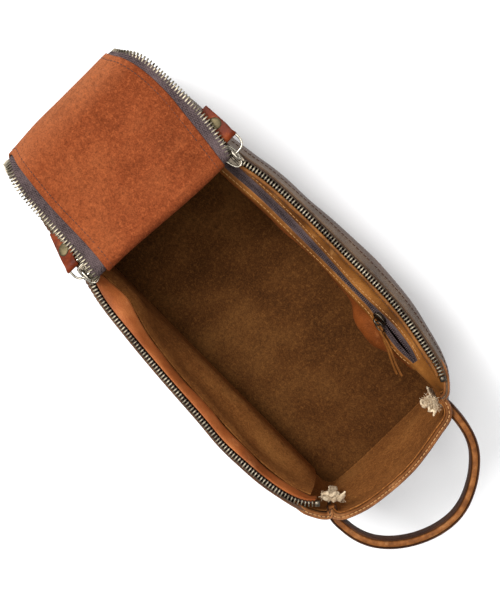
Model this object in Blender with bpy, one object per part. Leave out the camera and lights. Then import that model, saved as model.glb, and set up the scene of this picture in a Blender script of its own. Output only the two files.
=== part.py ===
"""Leather wash bag: a soft box with a long lid that zips along both sides.

X runs along the bag from the hinge end to the handle end, Y across it and Z up. The origin
is the middle of the underside. The lid is unzipped and folded back over the hinge end, with
its last part hanging down outside. Lengths are in millimetres until solid() makes metres.
"""

import math

import bmesh
import bpy
from mathutils import Vector

MM = 0.001
GAP = 0.3

# Box
HALF_LENGTH = 138.0
HALF_WIDTH = 61.0
CORNER = 12.0
SIDE_TOP = 117.0
HANDLE_END_TOP = 113.0
HINGE_END_TOP = 115.8
LEATHER = 1.8
LINING = 0.8
SIDE_BULGE = 3.5
END_BULGE = 4.0
BASE = 2.0
BOARD = 1.7

# Zips along the two sides
TEETH_TOP = 120.3
TEETH_LOW = 117.3
TEETH_WIDE = 2.7
MESH_Y = 57.55
TAPE = 0.8
ZIP_BACK = -125.0
ZIP_FRONT = 121.0
STOP = 3.0

# Lid: three stiff panels, joined by a link at the fold and a bend over the hinge end
FOLD_X = -70.0
LID_Z = 118.8
FOLD_RISE = 9.0
BEND_X = -168.0
LID_HALF = 49.5
LID_TAPE_IN = 46.0
LID_OUT = 2.4
LID_IN = 0.7
LID_CUT = 2.7
LID_END = 138.0
LINK_HALF = 1.5

# Sliders, rings, pulls
SLIDER_X = {"left": -79.0, "right": -67.0}
SLIDER_LONG = 15.0
BAIL_Y = 61.5
BAIL_Z = 125.2
BAIL_WIRE = 0.7
RING_Z = 123.4
RING_WIRE = 0.8
RING_LONG = 11.0
RING_Y = (58.8, 71.4)
PULL_Y = (61.6, 69.2)
PULL_LONG = 22.0
PULL_DROOP = math.radians(20.0)
RIVET_AT = 11.0
RIVET_R = 3.6

# Handle
HANDLE_X = 151.0
HANDLE_Z = 105.0
HANDLE_HALF = 9.0
HANDLE_THICK = 5.0
HANDLE_OUT = 39.0
HANDLE_MID_Y = -4.0
HANDLE_SPAN = 52.0

# Pocket on the right wall and slip pocket on the left wall
POCKET_X = (-58.0, 122.0)
POCKET_SLIDER_X = 69.0
POCKET_FLAT = 57.2
FACING_LOW = (4.9, 107.2)
POCKET_TAPE = ((5.2, 106.6), (10.8, 98.2))
POCKET_PANEL = ((11.1, 97.6), (14.7, 92.8), (18.6, 78.0), (20.0, 62.0), (16.0, 36.0), (2.5, 12.0))
SLIP_PANEL = ((11.6, 84.0), (12.4, 70.0), (11.0, 46.0), (6.5, 24.0), (2.0, 12.0))


def clear():
    """Empties the file."""
    for item in list(bpy.data.objects):
        bpy.data.objects.remove(item, do_unlink=True)


def finish(name, colour, metal, rough):
    """A plain Principled material."""
    made = bpy.data.materials.new(name)
    made.use_nodes = True
    shader = made.node_tree.nodes["Principled BSDF"]
    shader.inputs["Base Color"].default_value = (*colour, 1.0)
    shader.inputs["Metallic"].default_value = metal
    shader.inputs["Roughness"].default_value = rough
    return made


def solid(name, shape, look, origin=(0.0, 0.0, 0.0), smooth=False):
    """One object from a (points, faces) pair in millimetres, with its origin at origin."""
    points, faces = shape
    start = Vector(origin)
    built = bmesh.new()
    corners = [built.verts.new((Vector(p) - start) * MM) for p in points]
    for face in faces:
        built.faces.new([corners[i] for i in face])
    bmesh.ops.recalc_face_normals(built, faces=built.faces)
    mesh = bpy.data.meshes.new(name)
    built.to_mesh(mesh)
    built.free()
    mesh.shade_flat()
    if smooth:
        mesh.shade_smooth()
    mesh.materials.append(look)
    made = bpy.data.objects.new(name, mesh)
    made.location = start * MM
    bpy.context.scene.collection.objects.link(made)
    return made


def combine(target, tool, how):
    """Adds the tool to the target, or cuts it away, exactly."""
    step = target.modifiers.new(how.lower(), "BOOLEAN")
    step.operation = how
    step.solver = "EXACT"
    step.object = tool
    tool.hide_render = True
    tool.display_type = "WIRE"


def block(low, high):
    """A box between two corners."""
    return prism([(low[0], low[1]), (high[0], low[1]), (high[0], high[1]), (low[0], high[1])], 2, low[2], high[2])


def prism(outline, axis, low, high):
    """An outline in the plane across an axis, drawn out along it from low to high."""
    def place(pair, along):
        values = list(pair)
        values.insert(axis, along)
        return tuple(values)

    count = len(outline)
    points = [place(p, low) for p in outline] + [place(p, high) for p in outline]
    faces = [list(range(count)), list(range(2 * count - 1, count - 1, -1))]
    for i in range(count):
        j = (i + 1) % count
        faces.append([i, j, count + j, count + i])
    return points, faces


def sheet(front, back, us, vs):
    """A closed skin between two surfaces, each a function of u and v."""
    wide = len(vs)
    points = [front(u, v) for u in us for v in vs] + [back(u, v) for u in us for v in vs]
    half = len(us) * wide
    faces = []
    for i in range(len(us) - 1):
        for j in range(wide - 1):
            a = i * wide + j
            for tri in ([a, a + 1, a + wide + 1], [a, a + wide + 1, a + wide]):
                faces.append(tri)
                faces.append([half + k for k in reversed(tri)])
    edge = [j for j in range(wide)]
    edge += [i * wide + wide - 1 for i in range(1, len(us))]
    edge += [(len(us) - 1) * wide + j for j in range(wide - 2, -1, -1)]
    edge += [i * wide for i in range(len(us) - 2, 0, -1)]
    for k, a in enumerate(edge):
        b = edge[(k + 1) % len(edge)]
        faces.append([a, b, half + b, half + a])
    return points, faces


def sweep(path, section, closed):
    """A section carried along a path; section(i, centre, along) gives that station's points."""
    count = len(path)
    rings = []
    for i, centre in enumerate(path):
        before = path[(i - 1) % count] if closed or i else path[i]
        after = path[(i + 1) % count] if closed or i < count - 1 else path[i]
        rings.append(section(i, Vector(centre), (Vector(after) - Vector(before)).normalized()))
    sides = len(rings[0])
    points = [p for ring in rings for p in ring]
    faces = []
    for i in range(count if closed else count - 1):
        a, b = i * sides, ((i + 1) % count) * sides
        for k in range(sides):
            m = (k + 1) % sides
            faces.append([a + k, a + m, b + m, b + k])
    if not closed:
        faces.append(list(range(sides)))
        faces.append(list(range((count - 1) * sides, count * sides)))
    return points, faces


def wire(radius, side, sides=8):
    """A round section for sweep(); side is a direction never along the path."""
    def section(_, centre, along):
        across = along.cross(Vector(side)).normalized()
        up = across.cross(along)
        turns = [math.tau * k / sides for k in range(sides)]
        return [centre + across * (radius * math.cos(t)) + up * (radius * math.sin(t)) for t in turns]
    return section


def steps(low, high, count):
    """count + 1 even values from low to high."""
    return [low + (high - low) * i / count for i in range(count + 1)]


def arc(centre, radius, start, end, count):
    """Points on a circle between two angles in degrees."""
    turns = [math.radians(a) for a in steps(start, end, count)]
    return [(centre[0] + radius * math.cos(t), centre[1] + radius * math.sin(t)) for t in turns]


def smooth_step(value):
    """0 below 0, 1 above 1, and smooth in between."""
    held = min(max(value, 0.0), 1.0)
    return held * held * (3.0 - 2.0 * held)


# Walls

SEAM = 0.8
CORNER_X = HALF_LENGTH - CORNER
CORNER_Y = HALF_WIDTH - CORNER


def wall_stations(side):
    """Stations round one wall: (corner centre or straight x, y, outward normal angle)."""
    if side in ("left", "right"):
        turns = [(-CORNER_X, CORNER_Y, a) for a in steps(135.0 - SEAM, 90.0, 3)]
        turns += [(x, CORNER_Y, 90.0) for x in steps(-CORNER_X, CORNER_X, 10)[1:]]
        turns += [(CORNER_X, CORNER_Y, a) for a in steps(90.0, 45.0 + SEAM, 3)[1:]]
        if side == "left":
            turns = [(x, -y, -a) for x, y, a in turns]
    else:
        turns = [(CORNER_X, CORNER_Y, a) for a in steps(45.0 - SEAM, 0.0, 3)]
        turns += [(CORNER_X, y, 0.0) for y in steps(CORNER_Y, -CORNER_Y, 6)[1:]]
        turns += [(CORNER_X, -CORNER_Y, a) for a in steps(0.0, SEAM - 45.0, 3)[1:]]
        if side == "hinge":
            turns = [(-x, y, 180.0 - a) for x, y, a in turns]
    return turns


def wall_point(side, station, height, inset):
    """A point on a wall, inset from its outer face, with the wall's bulge."""
    x, y, angle = station
    turn = math.radians(angle)
    normal = Vector((math.cos(turn), math.sin(turn), 0.0))
    face = Vector((x, y, height)) + normal * CORNER
    reach = CORNER * math.sqrt(0.5)
    if side in ("left", "right"):
        bulge = SIDE_BULGE * max(0.0, 1.0 - (face.x / (CORNER_X + reach)) ** 2)
    else:
        bulge = END_BULGE * max(0.0, 1.0 - (face.y / (CORNER_Y + reach)) ** 2)
    return face + normal * (bulge * math.sin(math.pi * min(height / SIDE_TOP, 1.0)) - inset)


def wall(name, side, low, high, inset, thick, look):
    """One wall skin from height low to high, its outer face inset from the bag's. Every skin
    bends at the same heights, so that two neighbours stay parallel."""
    stations = wall_stations(side)
    levels = [low] + [z for z in steps(0.0, SIDE_TOP, 6) if low + 1.0 < z < high - 1.0] + [high]
    front = lambda i, z: wall_point(side, stations[i], z, inset)
    back = lambda i, z: wall_point(side, stations[i], z, inset + thick)
    return solid(name, sheet(front, back, range(len(stations)), levels), look, smooth=True)


def rounded_plate(inset, low, high):
    """A flat plate with the bag's rounded outline."""
    outline = []
    for sx, sy, start in ((1, 1, 0.0), (-1, 1, 90.0), (-1, -1, 180.0), (1, -1, 270.0)):
        outline += arc((sx * CORNER_X, sy * CORNER_Y), CORNER - inset, start, start + 90.0, 4)
    return prism(outline, 2, low, high)


def build_box(look):
    """Base, walls and linings."""
    solid("base_leather", rounded_plate(LEATHER + GAP, 0.0, BASE), look["leather"])
    solid("base_board", rounded_plate(LEATHER + LINING + 2 * GAP, BASE + GAP, BASE + GAP + BOARD), look["board"])
    tops = {"left": SIDE_TOP, "right": SIDE_TOP, "handle": HANDLE_END_TOP, "hinge": HINGE_END_TOP}
    lining_tops = {"left": 102.7, "right": 102.7, "handle": 112.7, "hinge": 115.5}
    for side, top in tops.items():
        end = "_end" if side in ("handle", "hinge") else ""
        wall("wall_" + side + end, side, 0.0, top, 0.0, LEATHER, look["leather"])
        wall("lining_" + side + end, side, BASE + GAP, lining_tops[side], LEATHER + GAP, LINING, look["lining"])
    wall("rim_handle_end", "handle", HANDLE_END_TOP + GAP, HANDLE_END_TOP + 2.6, -0.2, 2.8, look["leather"])


# Zips

def zip_rows(prefix, sign, x_low, x_high, look):
    """The zip half that stands on a side wall: tape between the layers, teeth on top."""
    side = "left" if sign < 0 else "right"
    ys = sorted((sign * (HALF_WIDTH - LEATHER - GAP), sign * (HALF_WIDTH - LEATHER - GAP - TAPE)))
    solid(prefix + "_tape_" + side, block((x_low, ys[0], 103.0), (x_high, ys[1], TEETH_LOW - GAP)), look["tape"])
    ys = sorted((sign * (MESH_Y + 0.15), sign * (MESH_Y + 0.15 + TEETH_WIDE)))
    solid(prefix + "_teeth_" + side, block((x_low, ys[0], TEETH_LOW), (x_high, ys[1], TEETH_TOP)), look["brass"])
    ys = sorted((sign * (MESH_Y + 0.35), sign * (MESH_Y + TEETH_WIDE - 0.05)))
    low = (x_high + GAP, ys[0], TEETH_LOW)
    solid(prefix + "_stop_" + side, block(low, (x_high + GAP + STOP, ys[1], TEETH_TOP + GAP)), look["steel"])


def lid_layers(prefix, place, origin, long_teeth, long_panel, look):
    """One lid panel. place(along, across, out) puts panel coordinates into the bag; out is
    negative on the outer leather side and positive on the suede side."""
    def bar(name, along, across, out, finish_name):
        corners = [place(a, b, c) for a in along for b in across for c in out]
        low = [min(p[k] for p in corners) for k in range(3)]
        high = [max(p[k] for p in corners) for k in range(3)]
        solid(name, block(low, high), look[finish_name], origin)

    half = TEETH_TOP - LID_Z
    bar(prefix + "_leather", long_panel, (-LID_HALF, LID_HALF), (-LID_OUT, -LID_IN), "leather")
    bar(prefix + "_suede", long_panel, (-LID_HALF, LID_HALF), (LID_IN, LID_OUT), "suede")
    for side, sign in (("left", -1.0), ("right", 1.0)):
        tape_edge = MESH_Y - 0.15 - TEETH_WIDE - GAP
        bar(prefix + "_tape_" + side, long_teeth, (sign * LID_TAPE_IN, sign * tape_edge), (-TAPE / 2, TAPE / 2), "tape")
        teeth = (sign * (tape_edge + GAP), sign * (MESH_Y - 0.15))
        bar(prefix + "_teeth_" + side, long_teeth, teeth, (-half, half), "brass")


def build_lid(look):
    """The zipped rear panel, the link at the fold, the folded middle and the hanging tip."""
    upper = LID_Z + FOLD_RISE
    rear = lambda a, b, c: (a, b, LID_Z - c)
    lid_layers("lid_rear", rear, (0, 0, 0), (ZIP_BACK, FOLD_X - LID_CUT), (0.5 - HALF_LENGTH, FOLD_X - LID_CUT), look)
    link = arc((FOLD_X, upper), LINK_HALF, 0.0, 180.0, 6) + arc((FOLD_X, LID_Z), LINK_HALF, 180.0, 360.0, 6)
    solid("lid_fold", prism(link, 1, -LID_HALF, LID_HALF), look["leather"], (FOLD_X, 0, LID_Z))
    middle = lambda a, b, c: (FOLD_X - a, b, upper + c)
    long_middle = (LID_CUT, FOLD_X - BEND_X - LID_CUT)
    lid_layers("lid_middle", middle, (FOLD_X, 0, upper), long_middle, long_middle, look)
    tip = lambda a, b, c: (BEND_X - c, b, upper - a)
    bend_closed = FOLD_X + FOLD_RISE + FOLD_X - BEND_X
    teeth = (LID_CUT, ZIP_FRONT - bend_closed)
    lid_layers("lid_tip", tip, (BEND_X, 0, upper), teeth, (LID_CUT, LID_END - bend_closed), look)


# Sliders, rings and pulls

def build_slider(sign, look):
    """One zip slider with its bail, ring, folded leather pull and rivet."""
    side = "left" if sign < 0 else "right"
    slider_x = SLIDER_X[side]
    flip = lambda pairs: [(sign * y, z) for y, z in pairs]
    x_low, x_high = slider_x - SLIDER_LONG / 2, slider_x + SLIDER_LONG / 2
    outline = [(-4.25, 0.8), (-3.25, 0.8), (-3.25, 1.9), (3.25, 1.9), (3.25, -1.3)]
    outline += [(4.65, -1.3), (4.65, 2.6), (4.05, 3.2), (-3.65, 3.2), (-4.25, 2.6)]
    outline = [(MESH_Y + y, LID_Z + z) for y, z in outline]
    centre = (slider_x, sign * MESH_Y, LID_Z)
    body = solid("slider_" + side, prism(flip(outline), 0, x_low, x_high), look["steel"], centre)
    foot = 121.2
    path = [(slider_x - 4.0, sign * BAIL_Y, foot), (slider_x - 4.0, sign * BAIL_Y, BAIL_Z - 0.9)]
    path += [(slider_x - 3.1, sign * BAIL_Y, BAIL_Z), (slider_x + 3.1, sign * BAIL_Y, BAIL_Z)]
    path += [(slider_x + 4.0, sign * BAIL_Y, BAIL_Z - 0.9), (slider_x + 4.0, sign * BAIL_Y, foot)]
    bail = solid("bail_" + side, sweep(path, wire(BAIL_WIRE, (0, 1, 0)), False), look["steel"], centre)
    combine(body, bail, "UNION")

    near, far = slider_x, slider_x - RING_LONG
    round_off = 1.8
    loop = []
    for cx, cy, start in ((near, RING_Y[1], 0.0), (far, RING_Y[1], 90.0), (far, RING_Y[0], 180.0), (near, RING_Y[0], 270.0)):
        inner_x = cx + (round_off if cx == far else -round_off)
        inner_y = cy + (round_off if cy == RING_Y[0] else -round_off)
        loop += arc((inner_x, inner_y), round_off, start, start + 90.0, 4)
    path = [(x, sign * y, RING_Z) for x, y in loop]
    solid("ring_" + side, sweep(path, wire(RING_WIRE, (0, 0, 1)), True), look["steel"], (near, sign * BAIL_Y, RING_Z), True)

    eye = (far, 0.0)
    shape = arc(eye, 2.8, -100.0, 100.0, 8)
    shape += [(far - 3.2, 2.2), (far - 5.5, 1.6), (far - PULL_LONG + 1.2, 1.6), (far - PULL_LONG, 1.0)]
    shape += [(x, -z) for x, z in reversed(shape[-4:])]
    ys = sorted((sign * PULL_Y[0], sign * PULL_Y[1]))
    droop = lambda x, z: drooped(x - far, z, far)
    pull_outline = [droop(x, z) for x, z in shape]
    origin = (far, sign * sum(PULL_Y) / 2, RING_Z)
    pull = solid("pull_" + side, prism(pull_outline, 1, ys[0], ys[1]), look["pull"], origin)
    hole = solid("eye_cutter_" + side, prism(arc((far, RING_Z), 1.3, 0.0, 337.5, 15), 1, ys[0] - 2, ys[1] + 2), look["pull"])
    combine(pull, hole, "DIFFERENCE")
    centre_y = sign * sum(PULL_Y) / 2
    hole = solid("rivet_cutter_" + side, turned([(0.0, -4.0), (1.7, -4.0), (1.7, 4.0), (0.0, 4.0)], centre_y, far), look["pull"])
    combine(pull, hole, "DIFFERENCE")
    head = [(0.0, -2.6), (RIVET_R - 0.5, -2.6), (RIVET_R, -2.2), (RIVET_R, -1.7), (1.5, -1.7)]
    head += [(r, -h) for r, h in reversed(head)]
    solid("rivet_" + side, turned(head, centre_y, far), look["brass"], origin, True)


def drooped(along, out, eye_x):
    """Turns a point of the pull, measured from its eye, down by the pull's droop."""
    turned_x = along * math.cos(PULL_DROOP) - out * math.sin(PULL_DROOP)
    turned_z = along * math.sin(PULL_DROOP) + out * math.cos(PULL_DROOP)
    return eye_x + turned_x, RING_Z + turned_z


def turned(profile, centre_y, eye_x, sides=20):
    """A turned piece on the rivet's axis; the profile is (radius, height) and starts and
    ends on the axis."""
    points, rings = [], []
    for radius, height in profile:
        ring = []
        for k in range(sides if radius else 1):
            t = math.tau * k / sides
            x, z = drooped(-RIVET_AT + radius * math.cos(t), height, eye_x)
            ring.append(len(points))
            points.append((x, centre_y + radius * math.sin(t), z))
        rings.append(ring)
    faces = []
    for low, high in zip(rings, rings[1:]):
        for k in range(sides):
            m = (k + 1) % sides
            corners = [low[k % len(low)], low[m % len(low)], high[m % len(high)], high[k % len(high)]]
            faces.append(list(dict.fromkeys(corners)))
    return points, faces


# Handle

def build_handle(look):
    """The strap loop on edge, and the two short ends sewn into the corner seams."""
    root = HANDLE_X - HANDLE_HALF
    stations = []
    for s in (0.25, 1.5, 3.5, 6.0):
        half = math.sqrt(HANDLE_HALF ** 2 - (HANDLE_HALF - s) ** 2)
        stations.append(((root + s, HANDLE_MID_Y + HANDLE_SPAN), half))
    turns = [math.radians(a) for a in steps(90.0, -90.0, 24)]
    loop = [(HANDLE_X + HANDLE_OUT * math.cos(t), HANDLE_MID_Y + HANDLE_SPAN * math.sin(t)) for t in turns]
    ends = [((x, 2 * HANDLE_MID_Y - y), half) for (x, y), half in reversed(stations)]
    stations += [(p, HANDLE_HALF) for p in loop] + ends
    path = [(x, y, HANDLE_Z) for (x, y), _ in stations]

    def section(i, centre, along):
        side = along.cross(Vector((0, 0, 1))).normalized() * (HANDLE_THICK / 2)
        up = Vector((0, 0, stations[i][1]))
        return [centre + side - up, centre + side + up, centre - side + up, centre - side - up]

    solid("handle_strap", sweep(path, section, False), look["leather"], (HANDLE_X, HANDLE_MID_Y, HANDLE_Z))
    low, high = HANDLE_Z - HANDLE_HALF, HANDLE_Z + HANDLE_HALF
    cup = arc((HANDLE_X, HANDLE_Z), HANDLE_HALF + GAP, 105.0, 255.0, 10)
    outline = [(HALF_LENGTH + 1.2, low), (HALF_LENGTH + 1.2, high)] + cup
    for side, y in (("left", HANDLE_MID_Y - HANDLE_SPAN), ("right", HANDLE_MID_Y + HANDLE_SPAN)):
        shape = prism(outline, 1, y - HANDLE_THICK / 2, y + HANDLE_THICK / 2)
        solid("handle_end_" + side, shape, look["leather"])


# Pockets

def fullness(x):
    """How far a pocket stands off its wall: 1 along the middle, near 0 at its two ends."""
    return 0.1 + 0.9 * smooth_step((x - POCKET_X[0]) / 14.0) * smooth_step((POCKET_X[1] - x) / 10.0)


def pocket_skin(name, sign, curve, thick, look, x_range=POCKET_X):
    """A skin hanging on a wall; curve lists (stand-off, height) from its top edge down."""
    xs = [x_range[0] + d for d in (0.0, 5.0, 9.0, 14.0)]
    xs += steps(x_range[0] + 14.0, x_range[1] - 10.0, 4)[1:] + [x_range[1] - d for d in (6.0, 3.0, 0.0)]
    def face(offset):
        def place(x, k):
            depth, height = curve[k]
            return (x, sign * (POCKET_FLAT - depth * fullness(x) + offset), height)
        return place
    solid(name, sheet(face(-thick / 2), face(thick / 2), xs, range(len(curve))), look, smooth=True)


def build_pockets(look):
    """Facings, the zipped pocket on the right, the slip pocket on the left."""
    top = (0.0, SIDE_TOP - 0.1)
    pocket_skin("facing_right", 1.0, (top, (3.0, 112.0), FACING_LOW), 1.0, look["facing"])
    pocket_skin("facing_left", -1.0, (top, (4.2, 109.0), (6.5, 100.0)), 1.0, look["facing"])
    pocket_skin("pocket_tape", 1.0, POCKET_TAPE, 0.7, look["tape"])
    pocket_skin("pocket_panel", 1.0, POCKET_PANEL, 1.0, look["facing"])
    pocket_skin("slip_pocket_panel", -1.0, SLIP_PANEL, 1.0, look["lining"])

    upper, lower = Vector((0, -POCKET_TAPE[0][0], POCKET_TAPE[0][1])), Vector((0, -POCKET_TAPE[1][0], POCKET_TAPE[1][1]))
    down = (lower - upper).normalized()
    out = Vector((0, down.z, -down.y))
    if out.y > 0:
        out = -out
    middle = (upper + lower) / 2 + Vector((0, POCKET_FLAT, 0))

    def bar(half, low, high):
        corners = [middle + down * a + out * b for a, b in ((-half, low), (half, low), (half, high), (-half, high))]
        return [(p.y, p.z) for p in corners]

    solid("pocket_coil", prism(bar(1.1, 0.75, 1.75), 0, POCKET_X[0] + 16.0, POCKET_X[1] - 12.0), look["tape"])
    x_low, x_high = POCKET_SLIDER_X - 5.0, POCKET_SLIDER_X + 5.0
    centre = Vector((POCKET_SLIDER_X, 0, 0)) + middle
    left_wing, right_wing = middle - down * 2.9, middle + down * 2.9
    outline = [left_wing + out * 3.25, left_wing + out * 0.75, left_wing + out * 0.75 + down * 1.2]
    outline += [left_wing + out * 2.05 + down * 1.2, right_wing + out * 2.05 - down * 1.2]
    outline += [right_wing + out * 0.75 - down * 1.2, right_wing + out * 0.75, right_wing + out * 3.25]
    body = solid("pocket_slider", prism([(p.y, p.z) for p in outline], 0, x_low, x_high), look["steel"], centre)
    arch = ((-2.7, 2.6), (-2.7, 6.3), (-2.1, 6.9), (2.1, 6.9), (2.7, 6.3), (2.7, 2.6))
    path = [centre + Vector((dx, 0, 0)) + out * h for dx, h in arch]
    combine(body, solid("pocket_bail", sweep(path, wire(0.45, down), False), look["steel"], centre), "UNION")

    aim = (Vector((1, 0, 0)) + down * 0.62).normalized()
    across = out.cross(aim)
    near = centre + out * 5.2
    ring_r = 4.0
    hub = near + aim * ring_r
    turns = [math.tau * k / 20 for k in range(20)]
    path = [hub + aim * (ring_r * math.cos(t)) + across * (ring_r * math.sin(t)) for t in turns]
    solid("pocket_ring", sweep(path, wire(0.45, out, 6), True), look["steel"], near, True)
    far = near + aim * 2 * ring_r
    fold = [far + aim * (-1.2 * math.cos(t)) + out * (1.2 * math.sin(t)) for t in [math.radians(a) for a in steps(90, -90, 6)]]
    tails = ((30.0, 1.9), (20.0, 1.7), (8.0, 1.4))
    lift = out * 3.0
    path = [far + aim * a + out * b + lift * (a / 30.0) for a, b in tails] + fold
    path += [far + aim * a - out * (b - 1.0) + lift * (a / 30.0) for a, b in reversed(tails)]
    solid("pocket_cord", sweep(path, wire(0.65, across, 6), False), look["pull"], near, True)


def build_bindings(look):
    """The ends of the cotton tape that binds the two corner seams at the handle end."""
    centre_x, centre_y = CORNER_X + 2.6, CORNER_Y + 2.6
    for side, sign in (("left", -1.0), ("right", 1.0)):
        corners = []
        for a, b in ((-4.0, -0.8), (4.0, -0.8), (4.0, 0.8), (-4.0, 0.8)):
            corners.append((centre_x + (a + b) * math.sqrt(0.5), sign * (centre_y + (b - a) * math.sqrt(0.5))))
        solid("seam_binding_" + side, prism(corners, 2, 58.0, 116.0), look["cotton"])


def main():
    """Builds every piece."""
    clear()
    look = {
        "leather": finish("leather", (0.30, 0.13, 0.05), 0.0, 0.55),
        "suede": finish("suede", (0.32, 0.09, 0.03), 0.0, 0.95),
        "facing": finish("facing", (0.42, 0.17, 0.04), 0.0, 0.6),
        "lining": finish("lining", (0.28, 0.12, 0.05), 0.0, 0.9),
        "board": finish("board", (0.25, 0.22, 0.18), 0.0, 0.9),
        "tape": finish("tape", (0.06, 0.04, 0.04), 0.0, 0.85),
        "brass": finish("brass", (0.35, 0.30, 0.20), 1.0, 0.4),
        "steel": finish("steel", (0.45, 0.42, 0.36), 1.0, 0.35),
        "pull": finish("pull_leather", (0.22, 0.04, 0.01), 0.0, 0.5),
        "cotton": finish("cotton", (0.6, 0.5, 0.36), 0.0, 0.95),
    }
    build_box(look)
    for sign in (-1.0, 1.0):
        zip_rows("bag", sign, ZIP_BACK, ZIP_FRONT, look)
        build_slider(sign, look)
    build_lid(look)
    build_handle(look)
    build_pockets(look)
    build_bindings(look)


main()
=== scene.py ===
import math

import bpy
import numpy as np
from mathutils import Matrix, Vector


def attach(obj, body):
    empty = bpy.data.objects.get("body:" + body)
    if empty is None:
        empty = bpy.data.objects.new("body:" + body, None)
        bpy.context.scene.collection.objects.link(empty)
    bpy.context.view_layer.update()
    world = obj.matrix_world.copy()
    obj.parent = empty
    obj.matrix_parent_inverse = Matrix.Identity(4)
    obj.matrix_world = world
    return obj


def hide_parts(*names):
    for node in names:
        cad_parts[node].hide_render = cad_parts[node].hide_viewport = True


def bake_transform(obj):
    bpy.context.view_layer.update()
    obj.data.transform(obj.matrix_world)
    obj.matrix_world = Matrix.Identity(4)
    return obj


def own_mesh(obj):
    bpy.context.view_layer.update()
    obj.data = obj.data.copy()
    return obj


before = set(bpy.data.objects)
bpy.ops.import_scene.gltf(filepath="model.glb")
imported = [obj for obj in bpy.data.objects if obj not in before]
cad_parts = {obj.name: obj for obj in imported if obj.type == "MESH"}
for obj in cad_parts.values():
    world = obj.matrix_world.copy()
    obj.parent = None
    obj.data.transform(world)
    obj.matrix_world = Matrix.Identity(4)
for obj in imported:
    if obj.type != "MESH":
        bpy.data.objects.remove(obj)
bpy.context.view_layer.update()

MM = 0.001
SHARP = math.radians(50.0)

# Measures in millimetres: +X runs to the handle end, +Y to the zip-pocket wall, Z up.
TEETH_Z = 118.8
FOLD_X = -70.0
FOLD_LOW, FOLD_TOP = 118.8, 127.8
FOLD_R = 4.5
BEND_X = -168.0
CURL_R = 18.0
LEATHER = 1.8
SLIDER_X = {"left": -79.0, "right": -67.0}
SLIDER_Y = {"left": 54.6, "right": 58.6}
RING_Y = {"left": 58.8, "right": 66.8}
RING_Z = 123.4
RING_LONG = 11.0
PULL_LONG = {"left": 26.0, "right": 22.8}
PULL_DROOP = {"left": math.radians(20.0), "right": math.radians(3.0)}
PULL_YAW = {"left": math.radians(16.0), "right": math.radians(4.0)}
TOOTH_PITCH = 2.25
COIL_PITCH = 1.25
YARN_PITCH = 1.15
ROW_PITCH = 2.3
POCKET_SLIDER_X = 69.0
HANDLE_Z = 106.6
VIEW_HIGH = 368.0943513
SIGN = {"left": -1.0, "right": 1.0}


# Lines and surfaces

def through(knots, at):
    """A smooth line through knots. The first number of a knot is its place along, the rest are
    its values. Each span is a cubic whose end slopes are the mean slopes of the two spans."""
    k = np.asarray(knots, float)
    x, y = k[:, 0], k[:, 1:]
    rise = np.diff(y, axis=0) / np.diff(x)[:, None]
    slope = np.concatenate([rise[:1], (rise[:-1] + rise[1:]) / 2, rise[-1:]])
    at = np.clip(np.asarray(at, float), x[0], x[-1])
    i = np.clip(np.searchsorted(x, at, side="right") - 1, 0, len(x) - 2)
    span = x[i + 1] - x[i]
    t = ((at - x[i]) / span)[..., None]
    span = span[..., None]
    value = (2 * t ** 3 - 3 * t ** 2 + 1) * y[i] + (t ** 3 - 2 * t ** 2 + t) * span * slope[i]
    value = value + (3 * t ** 2 - 2 * t ** 3) * y[i + 1] + (t ** 3 - t ** 2) * span * slope[i + 1]
    return value[..., 0] if y.shape[1] == 1 else value


def unit(v):
    """Vectors scaled to length 1."""
    return v / np.maximum(np.linalg.norm(v, axis=-1, keepdims=True), 1e-9)


def lengths(path):
    """How far along a line each of its points is."""
    return np.concatenate([[0.0], np.cumsum(np.linalg.norm(np.diff(path, axis=0), axis=1))])


def even(path, count, ends=(0.0, 0.0)):
    """Points spaced evenly along a line, leaving a length free at each end."""
    far = lengths(path)
    at = np.linspace(ends[0], far[-1] - ends[1], count)
    return np.stack([np.interp(at, far, path[:, k]) for k in range(path.shape[1])], 1)


def route(points, count):
    """Evenly spaced points on the smooth line through a few points."""
    points = np.asarray(points, float)
    far = lengths(points)
    return even(through(np.column_stack([far, points]), np.linspace(0, far[-1], 40 * len(points))), count)


def ease(t):
    """0 below 0, 1 above 1, and 3t^2 - 2t^3 between."""
    t = np.clip(t, 0.0, 1.0)
    return t * t * (3 - 2 * t)


def ripple(a, b, scale, seed=0.0):
    """Soft uneven swelling between about -1 and 1: five sine waves at turned headings."""
    total = 0.0
    for k in range(5):
        heading = 1.3 + 2.4 * k + seed
        wave = (1.0 + 0.37 * k) / scale
        along = a * math.cos(heading) + b * math.sin(heading)
        total = total + np.sin(along * wave * math.tau + 1.7 * k + 3 * seed) / (1 + 0.5 * k)
    return total / 2.6


def skin_normal(grid):
    """The normal at each point of a grid, from the cross product of its two directions."""
    return unit(np.cross(np.gradient(grid, axis=0), np.gradient(grid, axis=1)))


def build(name, points, quads, look, extra=()):
    """A mesh from points in millimetres and faces; if its enclosed volume comes out negative,
    every face is turned round."""
    points = np.asarray(points, float)
    quads = np.asarray(quads, int)
    tris = np.concatenate([quads[:, [0, 1, 2]], quads[:, [0, 2, 3]]])
    a, b, c = points[tris[:, 0]], points[tris[:, 1]], points[tris[:, 2]]
    hub = points.mean(0)
    volume = np.einsum("ij,ij->i", a - hub, np.cross(b - hub, c - hub)).sum()
    faces = quads.tolist() + [list(f) for f in extra]
    if volume < 0:
        faces = [f[::-1] for f in faces]
    mesh = bpy.data.meshes.new(name)
    mesh.from_pydata((points * MM).tolist(), [], faces)
    mesh.polygons.foreach_set("use_smooth", [True] * len(mesh.polygons))
    mesh.update()
    mesh.set_sharp_from_angle(angle=SHARP)
    piece = bpy.data.objects.new(name, mesh)
    bpy.context.collection.objects.link(piece)
    mesh.materials.append(look)
    return piece


def named(piece, slot, *nodes):
    """Hides the solids that a piece stands for. slot is not used."""
    if nodes:
        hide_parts(*nodes)
    return piece


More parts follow.
